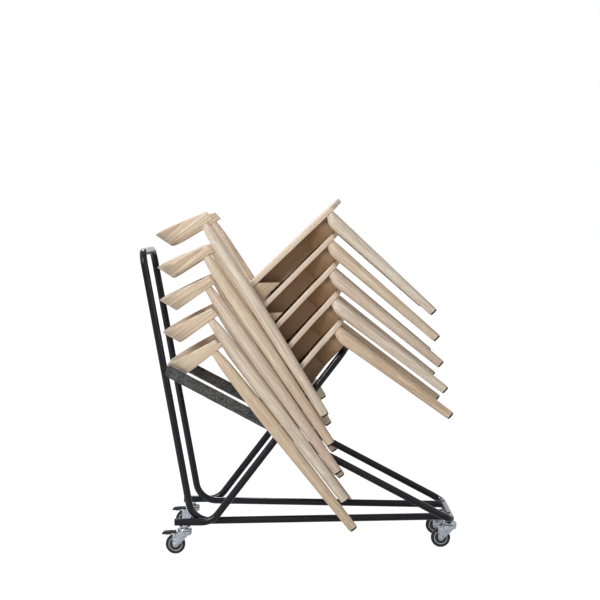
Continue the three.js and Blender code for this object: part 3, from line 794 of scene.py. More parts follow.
front_stations = [front_ring(height, radius) for height, radius in FRONT_RADII]
for step in range(1, DOME_STEPS + 1):
    share = math.sin(math.pi / 2 * step / DOME_STEPS)
    radius = NECK_RADIUS + (CROWN_RADIUS - NECK_RADIUS) * share**2
    height = FRAME_TOP - DOME_DEPTH * (1 - share)
    front_stations.append(front_ring(height, radius, NECK_RADIUS - radius))
front_leg = carry(disc(1, LEG_SIDES), front_stations)
front_leg_mesh = mesh_of(lay_grain(front_leg, front_grain))
print("front leg:", len(front_leg_mesh.vertices), "points")

# %% [markdown]
# ## The seat
#
# The seat is a dished board, 16 mm thick. It widens over the front legs and its front edge bows out.
# A grid is the right start, because every point of the top can be placed by the same rule as in the
# CAD. Its outer lines lie close together, so that the edge can roll over in a true quarter round,
# and the corner squares of the grid are drawn in to quarter discs.

# %% Seat sizes
SEAT_TOP = 442
PANEL_UNDER = 426
PANEL_REAR = 88
PANEL_LENGTH = 362
PANEL_HALF = 218.3
PANEL_FLARE = 31
FLARE_START = 330
FLARE_END = 402
CORNER_REACH = 450
NOSE_REACH = 484
PANEL_CORNER = 14
EDGE_ROUND = 4.5
UNDER_ROUND = 2.5
DISH_DEPTH = 8
DISH_BORDER = 22
EDGE_LINES = [0, 0.15, 0.6, 1.3, 2.3, 3.3, 4.5, 7, 10.5, PANEL_CORNER]
INNER_LINES = 40


def line_places(length):
    """Distances from one end of the grid's lines: close at both ends, even in between."""
    even = (length - 2 * PANEL_CORNER) / INNER_LINES
    inner = [PANEL_CORNER + even * step for step in range(1, INNER_LINES)]
    return EDGE_LINES + inner + [length - place for place in reversed(EDGE_LINES)]


print("seat panel:", PANEL_LENGTH, "by", 2 * (PANEL_HALF + PANEL_FLARE), "mm")

# %% Seat rules
def flare_at(reach):
    """How far the panel's side stands out at a distance from its rear: nothing, then a smooth step."""
    share = min(max((PANEL_REAR + reach - FLARE_START) / (FLARE_END - FLARE_START), 0), 1)
    return PANEL_FLARE * share * share * (3 - 2 * share)


def drawn_in(end_gap, side_gap):
    """Moves a point of a corner square into the quarter disc of the rounded corner."""
    in_x = PANEL_CORNER - end_gap
    in_y = PANEL_CORNER - side_gap
    if in_x <= 0 or in_y <= 0:
        return end_gap, side_gap
    shrink = max(in_x, in_y) / math.hypot(in_x, in_y)
    return PANEL_CORNER - in_x * shrink, PANEL_CORNER - in_y * shrink


def seat_point(reach, side_gap, side):
    """A point of the seat's top, from its distance to the rear and to the nearer side."""
    end_gap = min(reach, PANEL_LENGTH - reach)
    edge_gap = min(end_gap, side_gap)
    end_gap, side_gap = drawn_in(end_gap, side_gap)
    reach = end_gap if reach < PANEL_LENGTH / 2 else PANEL_LENGTH - end_gap
    half = PANEL_HALF + flare_at(reach)
    y = side * (half - side_gap)
    nose = CORNER_REACH + (NOSE_REACH - CORNER_REACH) * (1 - (y / half) ** 2)
    p = (2 * reach - PANEL_LENGTH) / (PANEL_LENGTH - 2 * DISH_BORDER)
    q = y / (half - DISH_BORDER)
    dish = DISH_DEPTH * max(1 - p * p, 0) * max(1 - q * q, 0)
    roll = EDGE_ROUND - math.sqrt(EDGE_ROUND**2 - max(EDGE_ROUND - edge_gap, 0) ** 2)
    return Vector((PANEL_REAR + reach / PANEL_LENGTH * (nose - PANEL_REAR), y, SEAT_TOP - dish - roll))


print("seat's lowest point:", seat_point(PANEL_LENGTH / 2, PANEL_HALF, 1).z, "mm")

# %% Seat shape
reach_lines = line_places(PANEL_LENGTH)
side_lines = line_places(2 * PANEL_HALF)
columns = len(reach_lines) - 1
rows = len(side_lines) - 1
seat = bmesh.new()
bmesh.ops.create_grid(seat, x_segments=columns, y_segments=rows, size=1)
for point in seat.verts:
    reach = reach_lines[round((point.co.x + 1) / 2 * columns)]
    across = side_lines[round((point.co.y + 1) / 2 * rows)]
    side_gap = min(across, 2 * PANEL_HALF - across)
    if side_gap > PANEL_CORNER:
        side_gap *= 1 + flare_at(reach) / PANEL_HALF
    point.co = seat_point(reach, side_gap, 1 if across > PANEL_HALF else -1)
pushed = bmesh.ops.extrude_edge_only(seat, edges=open_edges(seat))["geom"]
for point in points_of(pushed):
    point.co.z = PANEL_UNDER
close_end(seat, open_edges(seat))
soften(seat, UNDER_ROUND, angle=60)
seat_mesh = mesh_of(lay_grain(seat, lambda point: point.yzx))
print("seat:", len(seat_mesh.vertices), "points,", columns + 1, "by", rows + 1, "lines")

# %% [markdown]
# ## The backrest
#
# Backrest and arms are one bent board. It is tall and thin behind the sitter's back and turns into
# low, thicker arms over the rear legs. A square face is carried round the bend through stations that
# stretch it, and the long edges are then rolled over. The plan is a superellipse, which is straight
# along the arms and the back with a quick turn between them. The back leans backwards, and that lean
# dies away along the arms, so that their ends are cut nearly upright.

# %% Backrest sizes
ARM_REACH = 165.1
BOW_DEPTH = 148
BOW_POWER = 2 / 3.1
LEG_TOP_X = 137.08
LEG_TOP_Z = 661.95
FIT = 0.3
ARM_SIZE = Vector((24, 30))
CREST_SIZE = Vector((20, 62))
BOW_LEAN = math.tan(math.radians(12.4))
END_LEAN = 0.02
BOW_EDGE = 3.4
UNDER_SLOPE = math.tan(REAR_LEG_LEAN)
BOW_STATIONS = 110
BOW_SAMPLES = 3000


def signed_power(value, power):
    """A power that keeps the sign of its value."""
    return math.copysign(abs(value) ** power, value)


def bow_middle(turn):
    """The middle of the backrest's underside in plan, at a turn from the middle of the back."""
    reach = ARM_REACH - BOW_DEPTH * max(math.cos(turn), 0) ** BOW_POWER
    return Vector((reach, LEG_HALF * signed_power(math.sin(turn), BOW_POWER), 0))


def underside(reach):
    """The height of the backrest's underside, which slopes like the tops of the rear legs."""
    return LEG_TOP_Z + (LEG_TOP_X - reach) * UNDER_SLOPE


print("backrest's underside over the leg:", underside(LEG_TOP_X), "mm")

# %% Backrest stations
samples = [bow_middle(math.pi * (step / BOW_SAMPLES - 0.5)) for step in range(BOW_SAMPLES + 1)]
lengths = [0]
for before, after in zip(samples, samples[1:]):
    lengths.append(lengths[-1] + (after - before).length)
bow_runs = [lengths[-1] * step / BOW_STATIONS for step in range(BOW_STATIONS + 1)]
bow_steps = numpy.interp(bow_runs, lengths, range(BOW_SAMPLES + 1))
bow_turns = [math.pi * (step / BOW_SAMPLES - 0.5) for step in bow_steps]
bow_lines = [bow_middle(turn) for turn in bow_turns]


def bow_station(turn):
    """Stretches and leans a unit square into the backrest's section at a turn."""
    back = max(math.cos(turn), 0)
    depth_share = back**BOW_POWER
    middle = bow_middle(turn)
    middle.z = underside(middle.x) + FIT
    outward = Vector((-(back ** (2 - BOW_POWER)) / BOW_DEPTH,
                      signed_power(math.sin(turn), 2 - BOW_POWER) / LEG_HALF, 0)).normalized()
    thick, height = ARM_SIZE.lerp(CREST_SIZE, depth_share)
    out = Vector((outward.x, outward.y, -outward.x * UNDER_SLOPE)) * thick
    up = Vector((END_LEAN - (BOW_LEAN + END_LEAN) * depth_share, 0, 1)) * height
    return station(middle, out, up, out.cross(up).normalized())


print("backrest:", round(lengths[-1]), "mm round the bend")

# %% Backrest shape
bow = carry(flat_face([(-0.5, 0, 0), (0.5, 0, 0), (0.5, 1, 0), (-0.5, 1, 0)]),
            [bow_station(turn) for turn in bow_turns])
soften(bow, BOW_EDGE, segments=5, angle=45)
line_finder = KDTree(len(bow_lines))
for number, place in enumerate(bow_lines):
    line_finder.insert(place, number)
line_finder.balance()


def bow_grain(point):
    """A point's place in the board before it was bent: across, up and along."""
    depth_share = min(max((ARM_REACH - point.x) / BOW_DEPTH, 0), 1)
    lean = BOW_LEAN * depth_share * (point.z - underside(point.x))
    flat = Vector((point.x + lean, point.y, 0))
    place, number, _ = line_finder.find(flat)
    heading = (bow_lines[min(number + 1, BOW_STATIONS)] - bow_lines[max(number - 1, 0)]).normalized()
    offset = flat - place
    across = offset.dot(Vector((heading.y, -heading.x, 0)))
    return Vector((across, point.z - underside(place.x), bow_runs[number] + offset.dot(heading)))


bow_mesh = mesh_of(lay_grain(bow, bow_grain))
print("backrest:", len(bow_mesh.vertices), "points")

# %% [markdown]
# ## The seat frame
#
# Four rails carry the seat, and the side rails stand well in from its edge, which is why they lie in
# deep shade between the nested seats. Their wood is painted much darker than the seat's, as painted
# shade. At the front a curved corner piece leads out to the leg, so the light fades softly from the leg
# into the gap. A block fills each rear corner, its front cut on the slant, and a short step joins it to
# the rear leg. Blocks and steps make a piece of their own, painted with a lighter shade than the rails.
# Each board is a bevelled bar, butted a millimetre into its neighbour and a little lower than it, so
# that the joints show as fine lines.

# %% Seat frame sizes
FRAME_UNDER = 378.8
RAIL_EDGE = 1.6
# each board has its range in X and in Y, its inset at top and bottom, the order of its grain and its seed
FRONT_RAIL = ((386, 408), (-200, 200), 0, "zxy", 2.3)
REAR_RAIL = ((98, 120), (-173.6, 173.6), 0.2, "zxy", 5.1)
SIDE_RAIL = ((119, 387), (152.3, 174.3), 0.4, "yzx", 7.7)
LEG_STEP = ((76.5, 103.5), (205, 228.3), 0.6, "yzx", 3.9)
BLOCK_REAR = 98
BLOCK_FRONT_LOW = 178
BLOCK_FRONT_HIGH = 128
BLOCK_MIDDLE = 189.8
BLOCK_WIDTH = 53
BLOCK_INSET = 0.3
BLOCK_SEED = 11.3
SWEEP_STEPS = 18
SWEEP_START = (316, 174.3)
SWEEP_SIZE = (82, 61.2)
SWEEP_BACK = (407.6, 170)
SWEEP_INSET = 0.25
SWEEP_EDGE = 1.2
SWEEP_SEED = 19.1
print("seat frame:", round(FRAME_TOP - FRAME_UNDER, 1), "mm high")

# %% Seat frame
def bar(board, side=0):
    """A board of the frame as a bevelled bar, on one side or, with side 0, across the middle."""
    (rear, front), across, inset, order, seed = board
    near, far = sorted((side or 1) * y for y in across)
    low = Vector((rear, near, FRAME_UNDER + inset))
    high = Vector((front, far, FRAME_TOP - inset))
    shape = bmesh.new()
    size = Matrix.Diagonal((*(high - low), 1))
    bmesh.ops.create_cube(shape, size=1, matrix=Matrix.Translation((low + high) / 2) @ size)
    return cut_from_log(soften(shape, RAIL_EDGE), order, seed + side)


def corner_sweep(side):
    """The corner piece that leads from the side rail out to the front leg in a soft double curve."""
    outline = []
    for step in range(SWEEP_STEPS + 1):
        share = step / SWEEP_STEPS
        rise = (1 - math.cos(math.pi * share)) / 2
        outline.append((SWEEP_START[0] + SWEEP_SIZE[0] * share, SWEEP_START[1] + SWEEP_SIZE[1] * rise))
    outline += [(SWEEP_BACK[0], outline[-1][1]), SWEEP_BACK, (SWEEP_START[0], SWEEP_BACK[1])]
    shape = flat_face([(x, side * y, FRAME_UNDER + SWEEP_INSET) for x, y in outline])
    thicken(shape, (0, 0, FRAME_TOP - FRAME_UNDER - 2 * SWEEP_INSET))
    return cut_from_log(soften(shape, SWEEP_EDGE, segments=2, angle=60), "zyx", SWEEP_SEED + side)


def corner_block(side):
    """The block in a rear corner, with its slanted front."""
    low = FRAME_UNDER + BLOCK_INSET
    high = FRAME_TOP - BLOCK_INSET
    outline = [(BLOCK_REAR, low), (BLOCK_FRONT_LOW, low), (BLOCK_FRONT_HIGH, high), (BLOCK_REAR, high)]
    shape = plate(outline, BLOCK_WIDTH, round_by=0, edge=RAIL_EDGE)
    move(shape, Matrix.Translation((0, side * BLOCK_MIDDLE, 0)))
    return cut_from_log(shape, "yzx", BLOCK_SEED + side)


blocks = bmesh.new()
seat_frame = bar(FRONT_RAIL)
add_shape(seat_frame, bar(REAR_RAIL))
for side in (-1, 1):
    add_shape(seat_frame, corner_sweep(side))
    add_shape(seat_frame, bar(SIDE_RAIL, side))
    add_shape(blocks, corner_block(side))
    add_shape(blocks, bar(LEG_STEP, side))
seat_frame_mesh = mesh_of(seat_frame)
blocks_mesh = mesh_of(blocks)
print("seat frame:", len(seat_frame_mesh.vertices), "points, blocks:", len(blocks_mesh.vertices))

# %% [markdown]
# ## Glides and stacking buttons
#
# Under each foot sits a round black glide, and under each corner block a small black button keeps
# two nested frames from knocking. Both are pressed in, so they have no screw to show, only a soft
# edge. All six on a chair make one piece.

# %% Glides
GLIDE_SIZE = (11.8, 5)
BUTTON_SIZE = (6.5, 3.6)
BUTTON_SPOT = (141, 205)
BUTTON_SIDES = 32
BUTTON_ROLL = 1.6
ROLL_LIP = 0.5
PRESSED_IN = 0.6


def button(radius, depth):
    """A low round button whose top is at Z = 0 and which hangs down from there."""
    profile = [(0, -depth), (radius - BUTTON_ROLL, -depth), (radius - ROLL_LIP, ROLL_LIP - depth),
               (radius, BUTTON_ROLL - depth), (radius, PRESSED_IN), (0, PRESSED_IN)]
    return turned(eased(profile, [2, 0, 0.8, 0]), BUTTON_SIDES)


glides = bmesh.new()
for side in (-1, 1):
    across = side * LEG_HALF
    add_shape(glides, button(*GLIDE_SIZE), Matrix.Translation((0, across, 0)) @ leg_turn)
    add_shape(glides, button(*GLIDE_SIZE), Matrix.Translation((FRONT_FOOT_REACH, across, 0)))
    under_block = Matrix.Translation((BUTTON_SPOT[0], side * BUTTON_SPOT[1], FRAME_UNDER))
    add_shape(glides, button(*BUTTON_SIZE), under_block)
glides_mesh = mesh_of(glides)
print("glides and buttons:", len(glides_mesh.vertices), "points")

# %% [markdown]
# ## Laying the five chairs
#
# Each master mesh is copied, given its own spot in the tree, and moved by the chair's matrix. Left
# and right legs are the same turned shape, moved to either side, so no mirror is needed.

# %% Lay the chairs
SIDES = {"right": -1, "left": 1}
seed = 1

for number, place in chair_places.items():
    body = f"chair_{number}"
    leg_wood = f"turned_{LEG_TONES[number]}_wood"
    parts = [
        ("backrest", "board", bow_mesh, "bent_wood", 0),
        ("seat", "panel", seat_mesh, "panel_wood", 0),
        # rails and corner blocks take wood painted darker, as painted shade under the seat
        ("seat_frame", "rails", seat_frame_mesh, "rail_wood_painted_shade", 0),
        ("seat_frame", "corner_blocks", blocks_mesh, "block_wood_painted_shade", 0),
    ]
    for name, side in SIDES.items():
        parts.append((f"rear_leg_{name}", "turned", rear_leg_mesh, leg_wood, side * LEG_HALF))
        parts.append((f"front_leg_{name}", "turned", front_leg_mesh, leg_wood, side * LEG_HALF))
    for part, word, master, look, across in parts:
        mesh = with_grain_moved(master, seed)
        mesh.transform(place @ Matrix.Translation((0, across, 0)))
        finish_piece(f"{body}_{part}_{word}", mesh, look, body, "wood", f"{body}_{part}")
        seed += 1
    mesh = glides_mesh.copy()
    mesh.transform(place)
    finish_piece(f"{body}_glides", mesh, "dark_plastic", body, "dark_plastic")
print("wooden pieces:", seed - 1)

# %% [markdown]
# ## The trolley's tubes
#
# The trolley is bent from one round tube: a circle is pushed along each straight and spun round each
# bend, just as a bending machine works. The ends run on into the tube they are welded to. The
# trolley's own origin in the CAD is at the foot of its posts, and one castor stem tells how far that
# is from the middle of the object.

# %% Tube helper
TUBE_RADIUS = 11
TUBE_SIDES = 40
BEND_STEPS = 14


def bent_tube(corners, bends):
    """A round tube through corners, with a bend radius for each corner between its two ends."""
    heading = (corners[1] - corners[0]).normalized()
    shape = disc(TUBE_RADIUS, TUBE_SIDES)
    move(shape, Matrix.Translation(corners[0]) @ heading.to_track_quat("Z", "Y").to_matrix().to_4x4())
    rim = shape.edges[:]
    here = corners[0]
    for before, corner, after, radius in zip(corners, corners[1:], corners[2:], bends):
        arrive = (corner - before).normalized()
        leave = (after - corner).normalized()
        angle = arrive.angle(leave)
        setback = radius * math.tan(angle / 2)
        bend_start = corner - arrive * setback
        rim = push_rim(shape, rim, Matrix.Translation(bend_start - here))
        axis = arrive.cross(leave).normalized()
        centre = bend_start + axis.cross(arrive) * radius
        rim = spin_rim(shape, rim, centre, axis, angle, BEND_STEPS)
        here = corner + leave * setback
    return close_end(shape, push_rim(shape, rim, Matrix.Translation(corners[-1] - here)))


print("tube:", 2 * TUBE_RADIUS, "mm round")

# %% Tube corners
TUBE_HEIGHT = 96
BASE_LENGTH = 794
RAIL_HALF = 188
NOSE_HALF = 108
BRACE_HALF = 210.3
POST_SLOPE = math.tan(math.radians(10.3))
HANDLE_HEIGHT = 917
RAIL_TOP_HEIGHT = 562
BRACE_FOOT = 60.5
STUB_END = -49.5
BRACE_TOP = (470, 628)

low_corner, high_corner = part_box("castor_nose_right_stem")
trolley_shift = (low_corner.x + high_corner.x) / 2 / mm - BASE_LENGTH


def corner_at(reach, half, height=TUBE_HEIGHT):
    """A corner of a tube's middle line on the right, from its distance to the posts' foot."""
    return Vector((trolley_shift + reach, -half, height))


def post_point(height):
    """A point on the right post's middle line."""
    return corner_at(POST_SLOPE * (TUBE_HEIGHT - height), RAIL_HALF, height)


def mirrored(point):
    """The same point on the other side."""
    return Vector((point.x, -point.y, point.z))


def both_halves(*half):
    """The corners of a loop from those of its right half."""
    return [*half, *(mirrored(corner) for corner in reversed(half))]


handle_corners = both_halves(corner_at(BASE_LENGTH, NOSE_HALF), post_point(TUBE_HEIGHT),
                             post_point(HANDLE_HEIGHT))
rail_corners = both_halves(post_point(RAIL_TOP_HEIGHT), corner_at(BASE_LENGTH, RAIL_HALF))
brace_corners = both_halves(corner_at(STUB_END, BRACE_HALF), corner_at(BRACE_FOOT, BRACE_HALF),
                            corner_at(BRACE_TOP[0], BRACE_HALF, BRACE_TOP[1]))
print("trolley shift:", round(trolley_shift, 2), "mm")

# %% Tubes
TUBES = {
    "handle_loop": (handle_corners, (65, 42, 42, 65)),
    "rail_loop": (rail_corners, (45, 45)),
    "brace_loop": (brace_corners, (65, 50, 50, 65)),
}
for node, (tube_corners, bends) in TUBES.items():
    tube_mesh = mesh_of(bent_tube(tube_corners, bends))
    finish_piece(f"{node}_tube", tube_mesh, "satin_powder_coat", "trolley", "black_steel", node)
    print(node, len(bends), "bends")

# %% [markdown]
# ## Weld beads
#
# Where one tube runs into another the welder leaves a bead with small ripples. It follows the curve
# in which two round tubes meet, so the curve is worked out first: from each point of the joining
# tube's rim, how far along until the other tube's wall is reached. Where brace and rail only touch
# as they cross, the bead is a ring round the point of touch.

# %% Weld beads
BEAD_RADIUS = 2.3
BEAD_STEPS = 72
BEAD_SIDES = 10
RIPPLE = 0.1
TOUCH_RADIUS = 7.5
BEAD_TURNS = [2 * math.pi * step / BEAD_STEPS for step in range(BEAD_STEPS)]


def meeting_curve(start, heading, through, axis):
    """The closed line in which a tube from a start along a heading meets the wall of another tube."""
    heading = heading.normalized()
    axis = axis.normalized()
    across = heading.cross(axis).normalized()
    upward = across.cross(heading)
    slope = heading - axis * heading.dot(axis)
    line = []
    for turn in BEAD_TURNS:
        rim_point = start + (across * math.cos(turn) + upward * math.sin(turn)) * TUBE_RADIUS
        offset = rim_point - through
        offset -= axis * offset.dot(axis)
        a = slope.dot(slope)
        b = 2 * offset.dot(slope)
        c = offset.dot(offset) - TUBE_RADIUS**2
        line.append(rim_point + heading * ((-b + math.sqrt(max(b * b - 4 * a * c, 0))) / (2 * a)))
    return line


def bead(line):
    """A rippled bead round a closed line of points."""
    middle = sum(line, Vector()) / len(line)
    stations = []
    for number, point in enumerate(line):
        heading = line[(number + 1) % len(line)] - line[number - 1]
        ripple = BEAD_RADIUS * (1 + RIPPLE * math.sin(number * math.pi / 2))
        stations.append(along(point, heading, point - middle, ripple))
    return carry(disc(1, BEAD_SIDES), stations, closed=True)


print("weld bead:", 2 * BEAD_RADIUS, "mm thick")

# %% Place the beads
rail_heading = rail_corners[1] - rail_corners[0]
post_heading = post_point(HANDLE_HEIGHT) - post_point(TUBE_HEIGHT)
base_heading = handle_corners[1] - handle_corners[0]
brace_heading = brace_corners[2] - brace_corners[1]
gap = brace_corners[1] - rail_corners[0]
share = ((gap.x * brace_heading.z - gap.z * brace_heading.x)
         / (rail_heading.x * brace_heading.z - rail_heading.z * brace_heading.x))
touch = rail_corners[0] + rail_heading * share
touch.y = -(RAIL_HALF + BRACE_HALF) / 2
lines = [
    meeting_curve(rail_corners[0], rail_heading, rail_corners[0], post_heading),
    meeting_curve(handle_corners[0], base_heading, rail_corners[1], Vector((0, 1, 0))),
    [touch + Vector((math.cos(turn), 0, math.sin(turn))) * TOUCH_RADIUS for turn in BEAD_TURNS],
]
welds = bmesh.new()
for line in lines:
    add_shape(welds, bead(line))
    add_shape(welds, bead([mirrored(point) for point in line]))
finish_piece("trolley_weld_beads", mesh_of(welds), "coated_weld", "trolley", "black_steel")
print("weld beads:", 2 * len(lines))

# %% [markdown]
# ## Felt sleeves
#
# A thick felt sleeve is pulled over each sloping rail, so that the lowest backrest does not rub on
# steel. Felt of this density keeps its shape, so the sleeve is carried along the rail as a rounded
# section, with slow waves where the hands pulled it on, a soft roll at both ends, and a sewn seam
# that pinches it along its outer side.

# %% Felt sleeve sizes
PAD_SIZE = (26, 36)
PAD_CORNER = 10
LONG_SIDE = 4
PAD_STATIONS = 90
PAD_ROLL = 7
ROLL_LINES = [0, 0.4, 1, 2, 3.2, 4.8, PAD_ROLL]
ROLL_SHARE = 0.34
ROLL_POWER = 2.2
PAD_SLACK = 0.012
PAD_WAVES = [(0.012, 0.041, 0), (0.008, 0.113, 1)]
SEAM_HEIGHT = -4
SEAM_HALF = 3
SEAM_PINCH = 0.9
NEAR_RAIL = 15

rail_direction = rail_heading.normalized()
rail_normal = Vector((-rail_direction.z, 0, rail_direction.x))
pad_points = [point.co / mm - rail_corners[0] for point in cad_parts["rail_pad_right"].data.vertices]
pad_runs = [point.dot(rail_direction) for point in pad_points if abs(point.dot(rail_normal)) < NEAR_RAIL]
pad_start = min(pad_runs) + 1
pad_end = max(pad_runs)


def pad_section():
    """A rounded upright rectangle as one flat face, with more points along its sides."""
    shape = bmesh.new()
    bmesh.ops.create_grid(shape, x_segments=1, y_segments=1, size=0.5)
    bmesh.ops.scale(shape, vec=(*PAD_SIZE, 1), verts=shape.verts[:])
    round_off(shape, shape.verts[:], PAD_CORNER, segments=6, kind="VERTICES")
    sides = [edge for edge in shape.edges if edge.calc_length() > LONG_SIDE]
    bmesh.ops.subdivide_edges(shape, edges=sides, cuts=5)
    return shape


def pad_scale(run):
    """How full the sleeve is at a distance along it: rolled in at the ends, waving slowly between."""
    edge = min(run - pad_start, pad_end - run)
    roll = 1 - ROLL_SHARE * max(1 - edge / PAD_ROLL, 0) ** ROLL_POWER
    wave = sum(size * math.sin(run * pace + start) for size, pace, start in PAD_WAVES)
    return roll * (1 + wave) - PAD_SLACK


print("felt section:", " by ".join(str(size) for size in PAD_SIZE), "mm")

# %% Felt sleeves
length = pad_end - pad_start
pitch = (length - 2 * PAD_ROLL) / PAD_STATIONS
runs = ROLL_LINES + [PAD_ROLL + pitch * step for step in range(1, PAD_STATIONS)]
runs += [length - end for end in reversed(ROLL_LINES)]
for name, side in SIDES.items():
    foot = Vector((rail_corners[0].x, side * RAIL_HALF, rail_corners[0].z))
    stations = [along(foot + rail_direction * run, rail_direction, rail_normal, pad_scale(run))
                for run in (pad_start + run for run in runs)]
    shape = carry(pad_section(), stations)
    outward = Vector((0, side, 0))
    for point in shape.verts:
        offset = point.co - foot
        from_seam = abs(offset.dot(rail_normal) - SEAM_HEIGHT) / SEAM_HALF
        if offset.dot(outward) > 0 and from_seam < 1:
            point.co -= outward * SEAM_PINCH * (1 - from_seam)
    facts = ("grey_felt", "trolley", "felt", f"rail_pad_{name}")
    sleeve = finish_piece(f"felt_sleeve_{name}", mesh_of(shape), *facts)
print("felt sleeves:", round(length), "mm long")

# %% [markdown]
# ## Stub caps
#
# The braces' feet end in short open stubs over the handle-end castors, each closed by a moulded cap:
# a thin domed disc with a rolled edge.

# %% Stub caps
CAP_PROFILE = [(0, -2), (9.5, -2), (9.5, 0), (TUBE_RADIUS, 0), (TUBE_RADIUS, 1.6), (9.6, 2.8), (5, 3.1),
               (0, 3.2)]
CAP_EASE = [0, 0, 0.3, 1, 0.8, 2]
cap_reach = trolley_shift + STUB_END - FIT
for name, side in SIDES.items():
    cap = turned(eased(CAP_PROFILE, CAP_EASE), 40)
    place = Matrix.Translation((cap_reach, side * BRACE_HALF, TUBE_HEIGHT))
    move(cap, place @ Matrix.Rotation(-math.pi / 2, 4, "Y"))
    finish_piece(f"stub_plug_{name}", mesh_of(cap), "dark_plastic", "trolley", "dark_plastic",
                 f"stub_cap_{name}")
print("stub caps:", len(SIDES))

# %% [markdown]
# ## Castor heads and forks
#
# A castor's head is pressed steel round a ball race, over a fork stamped from one sheet: a round
# crown, two cheeks and an apron that closes the front. The head is turned; the cheeks are plates
# with rounded corners; the apron is a bent strip. All of it is bright zinc. Each castor is modelled
# about its own stem and moved into place.

# %% Castor outlines
HEAD = [(0, 70.9), (15, 70.9), (20.6, 70.75), (22, 71.6), (22, 76), (20.6, 77.6), (18.6, 77.6), (17, 75.6),
        (13, 76.4), (10, 79.4), (8, 80), (8, 87), (0, 87)]
HEAD_EASE = [0, 0.6, 0.8, 0.8, 1.2, 0.9, 1, 1.2, 1.5, 0.8, 0.5, 0]
CROWN = [(0, 66.2), (12, 66.2), (13, 67), (20.4, 67), (22, 67.6), (22, 69.4), (21, 70.2), (17, 70.2),
         (15.5, 69.6), (0, 69.6)]
CROWN_EASE = [0, 0.5, 0.5, 0.8, 0.5, 0.6, 0.5, 0.5]
CHEEK = [(14, 68.4), (-17, 68.4), (-20, 63.4), (-36, 62.2), (-36.4, 30), (-33, 21.6), (-23.4, 20.8),
         (2, 47.6), (14, 60.5)]
CHEEK_THICKNESS = 2.5
CHEEK_MIDDLE = 12.95
CASTOR_SIDES = 56
APRON = [(11.8, 56), (14.2, 56), (14.2, 69), (11.8, 69)]
APRON_STEPS = 16
APRON_REACH = 14
APRON_MIDDLE = 60
APRON_FRONT = 12.6
APRON_SQUASH = 0.62
APRON_RISE = 5
print("castor head:", 2 * max(radius for radius, _ in HEAD), "mm round")

# %% Castor fork
def castor_apron():
    """The bent strip in front of the wheel: it joins the cheeks round a half turn, lowest at the cheeks."""
    shape = flat_face([(0, -reach, height) for reach, height in APRON])
    close_end(shape, spin_rim(shape, shape.edges[:], (0, 0, 0), (0, 0, 1), math.pi, APRON_STEPS))
    for point in shape.verts:
        share = max(point.co.x, 0) / APRON_REACH
        if share:
            point.co.x *= APRON_SQUASH
        if point.co.z < APRON_MIDDLE:
            point.co.z += APRON_RISE * share
    return face_outward(move(shape, Matrix.Translation((APRON_FRONT, 0, 0))))


def castor_fork():
    """Crown, cheeks and apron of a fork."""
    fork = turned(eased(CROWN, CROWN_EASE), CASTOR_SIDES)
    for side in (-1, 1):
        cheek = plate(CHEEK, CHEEK_THICKNESS, round_by=2.4, edge=0.5)
        add_shape(fork, cheek, Matrix.Translation((0, side * CHEEK_MIDDLE, 0)))
    return add_shape(fork, castor_apron())


print("castor fork ready")

# %% [markdown]
# The axle is a bolt through both cheeks with a domed head on one side and a nut on the other. A small
# rivet shows on each cheek, and on the braked castors the pedal's pin has its own rivets.

# %% Castor bolts
AXLE = (-28, 30)
AXLE_PROFILE = [(0, -14), (3.9, -14), (3.9, 14), (0, 14)]
BOLT_RADIUS = 5.4
BOLT_DEPTH = 2
BOLT_SIDES = 28
RIVET_DEPTH = 0.8
SINK = -1.5
# a dome's profile as shares of its radius and its depth
DOME = [(1, 0.4), (0.75, 1), (0, 1)]
CHEEK_FACE = CHEEK_MIDDLE + CHEEK_THICKNESS / 2
# each rivet has its place in X and Z, its radius, and how far out it sits
RIVET = ((-23, 48.5), 2.2, CHEEK_FACE)
BRAKE_PIN = ((-31, 55), 2.4, 16.6)


def domed_head(radius, depth):
    """A low domed bolt head standing on Z = 0."""
    profile = [(0, SINK), (radius, SINK)] + [(radius * x, depth * z) for x, z in DOME]
    return turned(eased(profile, [0, radius * 0.25, radius * 0.3]), BOLT_SIDES)


def hex_nut(radius, depth):
    """A six-sided nut standing on Z = 0, with its corners turned off."""
    nut = carry(disc(radius, sides=6), [Matrix.Translation((0, 0, height)) for height in (SINK, depth)])
    return soften(nut, offset=0.5, segments=2, angle=40)


def outward_from(spot, side, reach):
    """The place of a bolt head at a spot in X and Z, on one side, looking out."""
    return Matrix.Translation((spot[0], side * reach, spot[1])) @ Matrix.Rotation(-side * math.pi / 2, 4, "X")


def castor_bolts(braked):
    """Axle, bolt head, nut and rivets of one castor."""
    bolts = move(turned(AXLE_PROFILE, BOLT_SIDES), outward_from(AXLE, -1, 0))
    add_shape(bolts, domed_head(BOLT_RADIUS, BOLT_DEPTH), outward_from(AXLE, -1, CHEEK_FACE))
    add_shape(bolts, hex_nut(BOLT_RADIUS, BOLT_DEPTH), outward_from(AXLE, 1, CHEEK_FACE))
    rivets = [RIVET, BRAKE_PIN] if braked else [RIVET]
    for spot, radius, reach in rivets:
        for side in (-1, 1):
            add_shape(bolts, domed_head(radius, RIVET_DEPTH), outward_from(spot, side, reach))
    return bolts


print("castor bolts ready")

# %% [markdown]
# ## Castor wheels
#
# Each wheel is a grey core with a hub and a dished web, a pale ring pressed over it, and a solid dark
# tyre with a rounded tread and a fine groove round each cheek. Three spun profiles make it, so that
# the ring shows as the thin light circle of the photograph. Each is drawn as its upper half.

# %% Castor wheel
CORE_HALF = [(4.3, 9.6), (8.6, 9.6), (10, 8.6), (10.6, 6.4), (16.6, 5.6), (17.6, 7.4), (18.2, 8)]
RING_HALF = [(18.2, 8.4), (18.7, 8.9), (20.1, 8.9), (20.6, 8.4)]
TYRE_HALF = [(20.8, 8), (21.6, 9), (24, 9.7), (25, 9.3), (25.6, 9.7), (27.6, 9.2), (29.2, 7.2), (29.85, 4.6),
             (30, 2)]
TYRE_SIDES = 64


